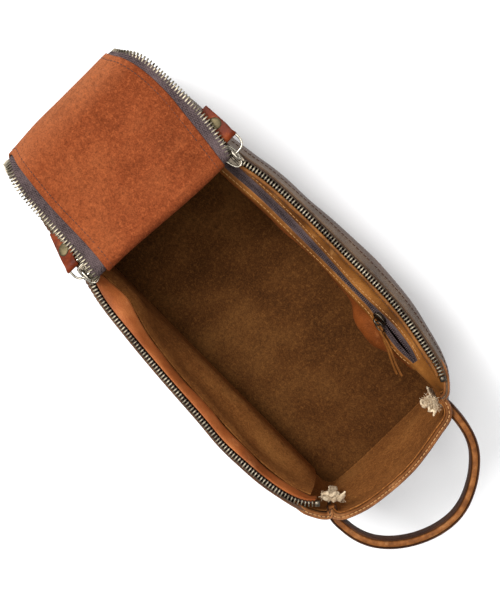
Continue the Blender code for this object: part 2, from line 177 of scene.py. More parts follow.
def placed(piece, body, slot, *nodes):
    """Rides a piece on its body and hides the solids it stands for. slot is not used."""
    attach(piece, body)
    return named(piece, slot, *nodes)


def net(rows, columns, close_rows=False, close_columns=False):
    """Quads of a grid of points numbered row by row, closed round either way if asked."""
    index = np.arange(rows * columns).reshape(rows, columns)
    if close_rows:
        index = np.concatenate([index, index[:1]])
    if close_columns:
        index = np.concatenate([index, index[:, :1]], axis=1)
    return np.stack([index[:-1, :-1], index[1:, :-1], index[1:, 1:], index[:-1, 1:]], -1).reshape(-1, 4)


def skin(name, face, thick, look, side=1.0):
    """A sheet of even thickness. face is a grid of its outer points; the other face lies one
    thickness behind along the normal, and both long edges are rounded by half circles."""
    normal = skin_normal(face) * side
    middle = face - normal * thick / 2
    low, high = unit(middle[:, 0] - middle[:, 1]), unit(middle[:, -1] - middle[:, -2])
    turn = np.radians([75.0, 45.0, 18.0])
    r = thick / 2
    halves = []
    for way in (1.0, -1.0):
        lower = [middle[:, 0] + low * r * math.sin(t) + way * normal[:, 0] * r * math.cos(t) for t in turn]
        upper = [middle[
            :, -1
        ] + high * r * math.sin(t) + way * normal[:, -1] * r * math.cos(t) for t in turn[::-1]]
        body = middle + way * normal * r
        halves.append(np.concatenate([np.stack(lower, 1), body, np.stack(upper, 1)], axis=1))
    rows, columns = halves[0].shape[:2]
    loop = np.concatenate([halves[0], halves[1][:, ::-1]], axis=1)
    quads = net(rows, 2 * columns, close_columns=True)
    k = np.arange(columns - 1)
    last = (rows - 1) * 2 * columns
    start_cap = np.stack([k, k + 1, 2 * columns - 2 - k, 2 * columns - 1 - k], 1)
    end_cap = start_cap[:, ::-1] + last
    return build(name, loop.reshape(-1, 3), np.concatenate([quads, start_cap, end_cap]), look)


def sweep(name, path, outline, look, up=(0, 0, 1), closed=False):
    """An outline of (sideways, upward) points carried along a path. Sideways is along the
    heading crossed with up, upward is square to both."""
    path = np.asarray(path, float)
    if closed:
        heading = unit(np.roll(path, -1, 0) - np.roll(path, 1, 0))
    else:
        heading = unit(np.gradient(path, axis=0))
    up = np.broadcast_to(np.asarray(up, float), path.shape)
    sideways = unit(np.cross(heading, up))
    upward = np.cross(sideways, heading)
    outline = np.asarray(outline, float)
    if outline.ndim == 2:
        outline = np.broadcast_to(outline, (len(path),) + outline.shape)
    points = path[:, None] + sideways[:, None] * outline[..., :1] + upward[:, None] * outline[..., 1:]
    rows, columns = points.shape[:2]
    quads = net(rows, columns, close_rows=closed, close_columns=True)
    caps = [] if closed else [list(range(columns)), list(range((rows - 1) * columns, rows * columns))[::-1]]
    return build(name, points.reshape(-1, 3), quads, look, extra=caps)


def round_outline(half_w, half_h, count=12, power=2.0):
    """An oval outline; a power above 2 squares it off."""
    t = np.arange(count) * math.tau / count
    c, s = np.cos(t), np.sin(t)
    return np.stack(
        [half_w * np.sign(c) * np.abs(c) ** (2 / power), half_h * np.sign(s) * np.abs(s) ** (2 / power)], 1
    )


def copies(name, shape, quads, caps, places, frames, look):
    """One small shape repeated: each copy's points are turned by its frame and moved to its place."""
    count, size = len(places), len(shape)
    points = np.einsum("cij,pj->cpi", frames, shape) + places[:, None]
    shift = (np.arange(count) * size)[:, None, None]
    all_quads = (np.asarray(quads)[None] + shift).reshape(-1, 4)
    extra = [[v + k * size for v in cap] for k in range(count) for cap in caps]
    return build(name, points.reshape(-1, 3), all_quads, look, extra=extra)


def frames_along(path, up):
    """For each point of a path, the matrix whose columns are heading, sideways and up."""
    heading = unit(np.gradient(path, axis=0))
    up = np.broadcast_to(np.asarray(up, float), path.shape)
    sideways = unit(np.cross(up, heading))
    return np.stack([heading, sideways, np.cross(heading, sideways)], -1)


def block_shape(length, width, height, power=4.0, count=12):
    """A rounded block along its first axis: four oval rings, the end rings drawn in."""
    rings = []
    for x, size in ((-0.5, 0.72), (-0.36, 1.0), (0.36, 1.0), (0.5, 0.72)):
        ring = round_outline(width / 2 * size, height / 2 * size, count, power)
        rings.append(np.column_stack([np.full(count, x * length), ring]))
    caps = [list(range(count))[::-1], list(range(3 * count, 4 * count))]
    return np.concatenate(rings), net(4, count, close_columns=True)[:, ::-1], caps


def stitches(name, line, up, look, pitch=3.2, long=2.3, thick=0.55, body="bag", slot="body_leather"):
    """A row of sewn stitches, each a short rounded thread lying along the line."""
    count = max(3, int(lengths(line)[-1] / pitch))
    spots = even(line, count, (pitch / 2, pitch / 2))
    ups = np.broadcast_to(np.asarray(up, float), line.shape)
    far = lengths(line)
    at = np.linspace(pitch / 2, far[-1] - pitch / 2, count)
    ups = np.stack([np.interp(at, far, ups[:, k]) for k in range(3)], 1)
    shape, quads, caps = block_shape(long, thick, thick * 0.8, 2.0, 6)
    piece = copies(name, shape, quads, caps, spots, frames_along(spots, ups), look)
    return placed(piece, body, slot) if body else piece


# Finishes

def tint(red, green, blue):
    """A colour given as 0 to 255 steps, in the renderer's linear light."""
    steps = [c / 255.0 for c in (red, green, blue)]
    return tuple(s / 12.92 if s <= 0.04045 else ((s + 0.055) / 1.055) ** 2.4 for s in steps) + (1.0,)


class Tone:
    """A node's output; sums on it add Math nodes."""

    def __init__(self, finish, socket):
        self.finish = finish
        self.socket = socket

    def _sum(self, operation, first, second):
        return self.finish.node("ShaderNodeMath", {"operation": operation}, {0: first, 1: second})

    def __add__(self, other):
        return self._sum("ADD", self, other)

    def __radd__(self, other):
        return self._sum("ADD", other, self)

    def __sub__(self, other):
        return self._sum("SUBTRACT", self, other)

    def __rsub__(self, other):
        return self._sum("SUBTRACT", other, self)

    def __mul__(self, other):
        return self._sum("MULTIPLY", self, other)

    def __rmul__(self, other):
        return self._sum("MULTIPLY", other, self)


class Finish:
    """One material: a Principled shader and the nodes that feed it. fixed gives the sockets that
    hold one value, with underscores for the spaces in their names."""

    def __init__(self, name, roughness=0.6, metallic=0.0, **fixed):
        self.material = bpy.data.materials.new(name)
        self.material.use_nodes = True
        self.tree = self.material.node_tree
        self.tree.nodes.clear()
        self.shader = self.tree.nodes.new("ShaderNodeBsdfPrincipled")
        output = self.tree.nodes.new("ShaderNodeOutputMaterial")
        self.tree.links.new(self.shader.outputs[0], output.inputs[0])
        self.shader.inputs["Roughness"].default_value = roughness
        self.shader.inputs["Metallic"].default_value = metallic
        for key, value in fixed.items():
            self.shader.inputs[key.replace("_", " ")].default_value = value
        self.where = self.node("ShaderNodeTexCoord", {}, {}, "Object")

    def node(self, kind, settings, sockets, out=0):
        """Adds a node: its settings first, then the values or links of its sockets."""
        made = self.tree.nodes.new(kind)
        for key, value in settings.items():
            if key == "stops":
                while len(made.color_ramp.elements) < len(value):
                    made.color_ramp.elements.new(0.5)
                for stop, (place, colour) in zip(made.color_ramp.elements, value):
                    stop.position = place
                    stop.color = colour
            else:
                setattr(made, key, value)
        for key, value in sockets.items():
            if isinstance(value, Tone):
                self.tree.links.new(value.socket, made.inputs[key])
            else:
                made.inputs[key].default_value = value
        return Tone(self, made.outputs[out])

    def feed(self, name, value):
        self.tree.links.new(value.socket, self.shader.inputs[name])

    def noise(self, scale, detail=3.0, roughness=0.5, where=None):
        sockets = {"Vector": where or self.where, "Scale": scale, "Detail": detail, "Roughness": roughness}
        return self.node("ShaderNodeTexNoise", {}, sockets)

    def cells(self, scale):
        return self.node("ShaderNodeTexVoronoi", {"feature": "F1"}, {"Vector": self.where, "Scale": scale})

    def ramp(self, value, *stops):
        return self.node("ShaderNodeValToRGB", {"stops": stops}, {"Fac": value})

    def level(self, value, low, high):
        """0 below low and 1 above high."""
        sockets = {"Value": value, "From Min": low, "From Max": high}
        return self.node("ShaderNodeMapRange", {"clamp": True}, sockets)

    def mix(self, share, first, second, how="MIX"):
        settings = {"data_type": "RGBA", "blend_type": how}
        return self.node("ShaderNodeMix", settings, {0: share, 6: first, 7: second}, 2)

    def swing(self, value):
        """A triangle wave: the distance from value to the nearest whole number."""
        return self.node("ShaderNodeMath", {"operation": "PINGPONG"}, {0: value, 1: 0.5})

    def stretch(self, scale, turn=(0.0, 0.0, 0.0)):
        """Object coordinates turned and stretched."""
        return self.node("ShaderNodeMapping", {}, {"Vector": self.where, "Rotation": turn, "Scale": scale})

    def bump(self, height, depth):
        """Ends a finish: its raised and hollow places, and the material it gives."""
        sockets = {"Height": height, "Distance": depth, "Strength": 1.0}
        self.feed("Normal", self.node("ShaderNodeBump", {}, sockets))
        return self.material


def shade(colour, *factors):
    """A colour made lighter or darker by one factor, or by one for each of red, green and blue."""
    factors = factors * 3 if len(factors) == 1 else factors
    return tint(*[min(255, int(c * k)) for c, k in zip(colour, factors)])


def leather(name, dark, mid, light, roughness, grain=0.00022, patch=28.0, wear=0.5, shine=0.22):
    """Oiled leather: pebbled grain from cells, soft pulled-up patches, fine scuffs that catch light."""
    f = Finish(name, roughness, Specular_IOR_Level=shine)
    patches = f.noise(patch, 4.0, 0.55)
    pores = f.cells(1100.0)
    fine = f.noise(900.0, 3.0, 0.6)
    scuffs = f.level(f.noise(110.0, 8.0, 0.72), 0.56, 0.74)
    body = f.ramp(patches, (0.28, tint(*dark)), (0.52, tint(*mid)), (0.74, tint(*light)))
    body = f.mix(f.level(pores, 0.0, 0.55) * 0.35, body, body, "MULTIPLY")
    body = f.mix(scuffs * wear, body, tint(*[min(255, c + 34) for c in light]))
    f.feed("Base Color", body)
    f.feed("Roughness", roughness + 0.16 * (patches - 0.5) + 0.12 * scuffs)
    return f.bump(pores * 0.6 + fine * 0.4 + scuffs * 0.15, grain)


def suede(name, dark, mid, light, nap=0.0003, patch=34.0, broad=9.0, sheen_and_wear=None):
    """Brushed flesh side: fine fibre speckle, cloudy marks where the nap lies over, and a painted
    sheen: paler colour growing from the first Object X of the given range to the second, used
    over the lid's curl."""
    f = Finish(name, 0.97, Specular_IOR_Level=0.06)
    clouds = f.noise(patch, 5.0, 0.6) * 0.5 + f.noise(broad, 3.0, 0.5) * 0.5
    streaks = f.noise(150.0, 5.0, 0.7, f.stretch((1.0, 0.28, 1.0), (0.0, 0.0, 0.5)))
    fibres = f.noise(1100.0, 4.0, 0.75)
    flecks = f.noise(420.0, 4.0, 0.75)
    colour = f.ramp(clouds, (0.3, tint(*dark)), (0.5, tint(*mid)), (0.7, tint(*light)))
    # Painted sheen: the colour grows paler across the given Object X range.
    if sheen_and_wear:
        place = f.node("ShaderNodeSeparateXYZ", {}, {"Vector": f.where}, "X")
        share = f.level(place + 0.02 * (f.noise(40.0, 5.0, 0.65) - 0.5), sheen_and_wear[0], sheen_and_wear[1])
        colour = f.mix(share * 0.85, colour, shade(light, 1.14, 1.3, 1.5))
    colour = f.mix(f.level(streaks, 0.5, 0.68) * 0.3, colour, tint(*light))
    colour = f.mix(f.level(1.0 - streaks, 0.52, 0.68) * 0.25, colour, tint(*dark))
    colour = f.mix(f.level(flecks, 0.53, 0.66) * 0.42, colour, shade(light, 1.2))
    colour = f.mix(f.level(1.0 - flecks, 0.52, 0.66) * 0.42, colour, shade(dark, 0.75))
    colour = f.mix(f.level(fibres, 0.52, 0.7) * 0.4, colour, shade(light, 1.25))
    colour = f.mix(f.level(1.0 - fibres, 0.5, 0.66) * 0.42, colour, shade(dark, 0.58))
    f.feed("Base Color", colour)
    return f.bump(fibres * 0.7 + flecks * 0.5 + streaks * 0.6 + clouds * 0.6, nap)


def woven(name, dark, light):
    """Zip tape: a herringbone of slanting yarns from a triangle wave whose phase is shifted by a
    second one across the tape, with fluffed fibres."""
    f = Finish(name, 0.92, Specular_IOR_Level=0.08)
    along = f.node("ShaderNodeSeparateXYZ", {}, {"Vector": f.where}, "X")
    across = Tone(f, along.socket.node.outputs["Y"])
    height = Tone(f, along.socket.node.outputs["Z"])
    rows = f.swing((across + height) * (1000.0 / ROW_PITCH))
    yarn = f.swing(along * (1000.0 / YARN_PITCH) + rows * 1.5)
    fluff = f.noise(800.0, 4.0, 0.75)
    sheen_and_wear = f.noise(60.0, 4.0, 0.6)
    colour = f.ramp(yarn * 0.8 + fluff * 0.9, (0.42, tint(*dark)), (0.86, tint(*light)))
    colour = f.mix(f.level(sheen_and_wear, 0.45, 0.75) * 0.35, colour, shade(light, 1.35))
    f.feed("Base Color", colour)
    return f.bump(yarn + rows * 0.5 + fluff * 0.4, 0.00025)


def metal(name, dark, bright, roughness, scratch=0.00005):
    """Aged metal: darker where it is tarnished, brighter on rubbed patches, both spread by noise."""
    f = Finish(name, roughness, 1.0)
    stain = f.noise(420.0, 5.0, 0.65)
    broad = f.noise(70.0, 3.0, 0.5)
    colour = f.ramp(stain * 0.6 + broad * 0.4, (0.36, tint(*dark)), (0.6, tint(*bright)))
    f.feed("Base Color", colour)
    f.feed("Roughness", roughness + 0.25 * (stain - 0.5))
    return f.bump(stain + f.noise(2200.0, 2.0) * 0.4, scratch)


def thread(name, dark, light):
    """Waxed sewing thread: slanting plies."""
    f = Finish(name, 0.7)
    sockets = {"Vector": f.where, "Scale": 900.0, "Distortion": 1.5}
    plies = f.node("ShaderNodeTexWave", {"bands_direction": "DIAGONAL"}, sockets)
    f.feed("Base Color", f.mix(plies * f.noise(300.0), tint(*dark), tint(*light)))
    return f.bump(plies, 0.0001)


def rag(name, dark, light):
    """Raw cotton tape with loose fibres."""
    f = Finish(name, 0.95)
    fibres = f.noise(700.0, 5.0, 0.75, f.stretch((1.0, 1.0, 0.25)))
    spots = f.noise(180.0, 3.0, 0.5)
    f.feed("Base Color", f.ramp(fibres * 0.6 + spots * 0.4, (0.33, tint(*dark)), (0.6, tint(*light))))
    return f.bump(fibres, 0.0007)


LOOK = {
    "outer": leather("waxed brown hide", (58, 38, 26), (80, 56, 40), (102, 76, 58), 0.6, 0.0003, 30.0, 0.3),
    # The right turned band is a greyer, paler copy of the turned edge: a painted sheen where the wall is
    # seen glancing.
    "band": leather(
        "turned hide edge greyed as painted sheen", (70, 52, 36), (98, 76, 56), (122, 98, 74), 0.62, 0.0003, 45.0, 0.35
    ),
    "turned": leather(
        "brown turned edge", (74, 46, 26), (106, 70, 42), (136, 96, 62), 0.6, 0.0003, 60.0, 0.35
    ),
    "edge": leather("tan cut edge", (92, 52, 22), (130, 80, 38), (168, 116, 68), 0.6, 0.0003, 90.0, 0.45),
    "strap": leather(
        "handle hide", (94, 54, 24), (136, 84, 40), (166, 114, 64), 0.62, 0.00025, 160.0, 0.45, 0.12
    ),
    "strap_edge": leather(
        "burnished strap edge", (46, 24, 12), (68, 38, 20), (88, 54, 30), 0.6, 0.0002, 60.0, 0.2, 0.12
    ),
    "facing": leather(
        "golden tan facing", (94, 54, 16), (134, 84, 32), (164, 110, 50), 0.58, 0.0003, 45.0, 0.4
    ),
    "panel": leather(
        "orange tan pocket hide", (98, 48, 14), (140, 74, 26), (172, 98, 40), 0.5, 0.0003, 35.0, 0.35, 0.35
    ),
    # The lid's suede gets a painted sheen, paler where it curls down over the hinge end (Object X -146 to
    # -172 mm).
    "suede": suede(
        "brushed rust suede", (98, 44, 20), (120, 57, 29), (142, 76, 42), 0.0005, sheen_and_wear=(-0.146, -0.172)
    ),
    # A lighter copy of the golden tan facing for the left facing band: painted light.
    "lit": leather(
        "tan facing lightened as painted light", (120, 64, 26), (170, 96, 46), (198, 126, 70), 0.5, 0.0003, 35.0, 0.35, 0.35
    ),
    "lining": suede("tan suede lining", (100, 58, 26), (134, 82, 40), (164, 110, 58), 0.0005, 40.0),
    # A darker copy of the lining for the floor board: painted shade deep inside the bag.
    "floor": suede("suede lining darkened as painted shade", (54, 30, 12), (78, 46, 20), (102, 66, 32), 0.0005, 40.0),
    "tape": woven("brown zip tape", (22, 16, 16), (92, 78, 78)),
    "teeth": metal("antique brass teeth", (44, 38, 30), (150, 140, 120), 0.42),
    "steel": metal("antique steel", (34, 30, 26), (116, 106, 92), 0.34),
    # A lighter copy of the antique steel for the slider's lip, bail and the pull ring: painted highlight on
    # the thin edges and wires.
    "bright": metal("steel lightened as painted highlight", (96, 90, 78), (196, 188, 172), 0.26),
    "rivet": metal("antique brass rivet", (62, 55, 40), (112, 101, 75), 0.55),
    "pull": leather(
        "red brown pull hide", (74, 24, 6), (118, 46, 14), (150, 74, 28), 0.5, 0.00016, 90.0, 0.4, 0.12
    ),
    "thread": thread("brown thread", (54, 26, 14), (96, 54, 30)),
    "pale_thread": thread("tan thread", (150, 100, 54), (232, 182, 118)),
    "dark_thread": thread("dark stitch thread", (54, 24, 12), (82, 42, 22)),
    "cotton": rag("raw cotton", (150, 118, 82), (226, 206, 174)),
}


# The bag's outline

RIGHT_RIM = [
    (-134.5, 51), (-130, 57.5), (-121, 61), (-100, 61.3), (-80, 61.8), (-61, 64.6), (-48, 67.2), (-34, 68.6)
]
RIGHT_RIM += [(-7, 69.6), (28, 69.8), (55, 69.6), (79, 68.0), (95, 65.4), (
    107, 63.0
), (116, 60.4), (122, 57.4), (127.6, 53.0)]
RIGHT_RIM += [(130.6, 49), (130.4, 45.9)]
LEFT_RIM = [(
    -134.5, -44
), (-130, -50), (-121, -53.3), (-100, -55.3), (-80, -59.4), (-61, -64.0), (-33, -67.4), (-3, -70)]
LEFT_RIM += [(35, -72.4), (55, -74), (72, -73.6), (90, -72.2), (
    103, -69.8
), (116, -66.6), (126, -62.4), (132.6, -58), (134.5, -55)]
LEFT_RIM += [(132.4, -53.4)]
HANDLE_RIM = [(
    130.4, 45.9
), (135.4, 45.6), (141.2, 41.8), (144.5, 29.2), (147.6, 13), (149, 1), (148.6, -16), (146.4, -34)]
HANDLE_RIM += [(143.4, -44), (140, -51), (136.2, -53.6), (132.4, -53.4)]
HINGE_RIM = [(-134.5, -44), (-139, -37), (-141, -20), (-141.5, 0), (-141, 20), (-139, 44), (-134.5, 51)]
FEET = {
    "right": [(-134.5, 57.5), (-130.5, 60), (-124, 61), (0, 61.5), (124, 61), (130.5, 60), (134.5, 57.5)],
    "left": [
        (-134.5, -57.5), (-130.5, -60), (-124, -61), (0, -61.5), (124, -61), (130.5, -60), (134.5, -57.5)
    ],
    "handle": [(134.5, 57.5), (137, 54), (138, 47), (139, 0), (138, -47), (137, -54), (134.5, -57.5)],
    "hinge": [(-134.5, -57.5), (-137, -54), (-138, -47), (-139, 0), (-138, 47), (-137, 54), (-134.5, 57.5)],
}
RIMS = {"right": RIGHT_RIM, "left": LEFT_RIM, "handle": HANDLE_RIM, "hinge": HINGE_RIM}
BULGE = {
    "right": [
        (0, 2), (0.1, 4), (0.25, 5), (0.42, 7), (0.6, 9.5), (0.72, 9.5), (0.85, 6), (0.95, 2.5), (1, 0.5)
    ],
    "left": [(0, 1), (0.2, 2.5), (0.5, 3), (0.8, 4), (0.93, 4), (0.98, 2), (1, 0.5)],
    "handle": [(0, 0.5), (0.2, 2), (0.5, 3), (0.8, 2), (1, 0.5)],
    "hinge": [(0, 0.5), (0.2, 2), (0.5, 3), (0.8, 2), (1, 0.5)],
}
ROWS = {"right": 150, "left": 150, "handle": 72, "hinge": 60}
TOPS = {"right": 116.6, "left": 116.4, "handle": 113.6, "hinge": 115.4}


def wall_face(side, inset=0.0, low=0.0, high=None, columns=44):
    """A wall's face as a grid. At height z the plan line is the foot line moved towards the rim
    line by (z/top)^1.3, swollen along its normal by the bulge and a soft ripple, both times
    sin(pi (z/top)^1.8); the lowest 5 mm turn in by a quarter circle. inset moves the face
    inwards."""
    rim, foot = route(RIMS[side], ROWS[side]), route(FEET[side], ROWS[side])
    top = TOPS[side]
    high = top if high is None else high
    z = np.linspace(low, high, columns)
    t = z / top
    share = np.linspace(0, 1, ROWS[side])
    swell = through(BULGE[side], share)
    plan = foot[:, None] + (rim - foot)[:, None] * (t ** 1.3)[None, :, None]
    heading = unit(np.gradient(plan, axis=0))
    outward = np.stack([heading[..., 1], -heading[..., 0]], -1)
    outward = np.where((outward * plan).sum(-1, keepdims=True) < 0, -outward, outward)
    ends = np.sin(math.pi * np.clip(share, 0.02, 0.98))[:, None] ** 0.5
    soft = ripple(share[:, None] * 2.4 + 0 * z, z[None] / 100.0 + 0 * share[:, None], 0.8, len(side)) * 1.1
    out = (swell[:, None] + soft * ends) * np.sin(math.pi * np.clip(t, 0, 1) ** 1.8)[None]
    turn_in = 5.0 - np.sqrt(np.maximum(25.0 - np.maximum(5.0 - z, 0.0) ** 2, 0.0))
    plan = plan + outward * (out - turn_in[None] - inset)[..., None]
    return np.concatenate([plan, np.broadcast_to(z[None, :, None], plan.shape[:2] + (1,))], -1)


def facing_out(grid):
    """+1 if the grid's own normals point away from the middle of the bag, else -1."""
    normal = skin_normal(grid)
    return 1.0 if ((grid * [1, 1, 0]) * normal).sum() > 0 else -1.0


def squeeze(piece, side):
    """Gives each of the left wall's soft pieces a mesh of its own."""
    if side == "left":
        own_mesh(piece)
    return piece


def walls():
    """Outer skins, linings, base and board."""
    for side in ("right", "left", "handle", "hinge"):
        end = "_end" if side in ("handle", "hinge") else ""
        face = wall_face(side)
        piece = skin("wall_skin_" + side, face, LEATHER, LOOK["outer"], facing_out(face))
        placed(piece, "bag", "body_leather", "wall_" + side + end)
        squeeze(piece, side)
        face = wall_face(
            side, 2.1, 3.0, {"right": 104.0, "left": 104.0, "handle": 113.0, "hinge": 115.0}[side], 40
        )
        piece = skin("lining_skin_" + side, face, 0.9, LOOK["lining"], facing_out(face))
        placed(piece, "bag", "lining", "lining_" + side + end)
        squeeze(piece, side)
    loop = np.concatenate([route(FEET[s], 40)[:-1] for s in ("right", "handle")])
    back = np.concatenate([route(FEET["left"], 40)[::-1][:-1], route(FEET["hinge"], 40)[:-1]])
    outline = np.concatenate([loop, back])
    for name, inset, z_low, z_high, look, slot, node in (
        ("base_skin", 3.2, 0.0, 2.0, "outer", "body_leather", "base_leather"),
        # The floor board takes the darker lining copy, painted shade.
        ("floor_board", 3.0, 2.2, 4.4, "floor", "board", "base_board"),
    ):
        inner = outline * (1 - inset / np.linalg.norm(outline, axis=1, keepdims=True))
        rings = []
        for share, z in ((0.02, z_low), (0.5, z_low), (0.985, z_low), (1.0, z_low + 0.5), (
            1.0, z_high - 0.5
        ), (0.985, z_high), (0.5, z_high), (0.02, z_high)):
            rings.append(np.column_stack([inner * share, np.full(len(inner), z)]))
        grid = np.stack(rings)
        caps = [list(range(len(inner))), list(range(7 * len(inner), 8 * len(inner)))[::-1]]
        piece = build(
            name, grid.reshape(-1, 3), net(8, len(inner), close_columns=True), LOOK[look], extra=caps
        )
        placed(piece, "bag", slot, node)


walls()


# Zips on the bag

TEETH_LINE = {
    "right": [
        (-125, 59.05), (-95, 59.05), (-82, 59.1), (-72, 59.6), (-61, 61.3), (-48, 64.0), (-34, 65.6),
        (-7, 66.8), (28, 67.0), (46, 67.0), (63, 66.7), (79, 65.2), (95, 62.4), (107, 60.0), (115, 58.2),
        (119, 56.4)
    ],
    "left": [
        (-125, -50.4), (-116, -51.0), (-95, -53.0), (-84, -55.4), (-77, -57.6), (-61, -62.0), (-33, -65.3),
        (-3, -67.8), (35, -70.2), (55, -71.8), (72, -71.0), (90, -69.2), (103, -66.9), (112, -63.8),
        (118, -60.4), (121, -57.4)
    ],
}


def teeth_path(side, count, height):
    flat = route(TEETH_LINE[side], count)
    return np.column_stack([flat, np.full(count, height)])


def zip_half(side):
    """Tape standing between wall and facing, metal teeth clamped on its top edge, and the stop."""
    out = SIGN[side]
    line = teeth_path(side, 160, 0.0)
    grid = []
    for z, lean in ((103.5, 0.0), (108.0, 0.4), (113.0, 0.4), (116.2, 0.1), (117.2, 0.0)):
        row = line + np.array([0.0, out * lean, z])
        grid.append(row)
    face = np.stack(grid, 1)
    piece = skin("bag_tape_cloth_" + side, face, 0.8, LOOK["tape"], facing_out(face))
    placed(piece, "bag", "zip_tape", "bag_tape_" + side)
    squeeze(piece, side)
    path = teeth_path(side, 120, TEETH_Z)
    path = even(path, int(lengths(path)[-1] / TOOTH_PITCH))
    shape, quads, caps = block_shape(1.0, 3.9, 2.8, 5.0, 12)
    frames = frames_along(path, (0, 0, 1))
    piece = copies("bag_tooth_row_" + side, shape, quads, caps, path, frames, LOOK["teeth"])
    placed(piece, "bag", "antique_brass", "bag_teeth_" + side)
    squeeze(piece, side)
    end = path[-1] + frames[-1][:, 0] * 3.0
    shape, quads, caps = block_shape(3.6, 4.0, 3.6, 3.0, 16)
    piece = copies("bag_end_stop_" + side, shape, quads, caps, end[None], frames[-1:], LOOK["steel"])
    placed(piece, "bag", "antique_steel", "bag_stop_" + side)
    squeeze(piece, side)


# Facings and pockets

TAPE_TOP = [(-130, 54.0), (-66, 57.2), (-40, 58.6), (-16, 58.9), (4, 58.2), (
    24, 57.2
), (43, 56.2), (55, 56.4), (68, 56.8), (80, 56.8), (90, 55.6), (97, 54.3), (104, 52.0), (116, 49.5)]
TAPE_LOW = [(-130, 47.5), (-66, 50.0), (-38, 52.0), (-2, 52.5), (
    33, 52.9
), (52, 52.8), (60, 52.4), (72, 50.0), (81, 47.9), (88, 47.0), (95, 46.8), (104, 47.4), (116, 46.5)]
BIND_LOW = [(-130, 44.5), (-66, 46.6), (-35, 48.8), (0, 49.8), (
    18, 50.2
), (37, 49.8), (55, 49.6), (64, 49.2), (75, 46.8), (85, 45.0), (95, 44.4), (104, 45.2), (116, 45.6)]
PANEL_BULGE = [(-130, 43), (-66, 45), (-20, 48), (
    20, 48.5
), (45, 47.6), (52, 45.6), (59, 41.0), (69, 37.8), (79, 36.8), (88, 39), (96, 41), (106, 44), (116, 46)]
FACING_INNER = [(-130, -52), (-66, -52), (-52, -51.4), (-42, -54), (
    -30, -57.4
), (-2, -61.6), (32, -63.4), (63, -65.0), (81, -64.6), (97, -63.0), (107, -61.2), (118, -57)]


def across_profile(xs, rows):
    """A grid from curves: rows lists (y at each x, height); between them the profile is the
    smooth line through the listed heights."""
    ys = np.stack([y for y, _ in rows], 1)
    zs = np.stack([z + 0 * xs for _, z in rows], 1)
    share = np.linspace(0, 1, ys.shape[1])
    dense = np.linspace(0, 1, 4 * ys.shape[1] + 1)
    y = through(np.column_stack([share, ys.T]), dense).T
    z = through(np.column_stack([share, zs.T]), dense).T
    return np.stack([np.broadcast_to(xs[:, None], y.shape), y, z], -1)


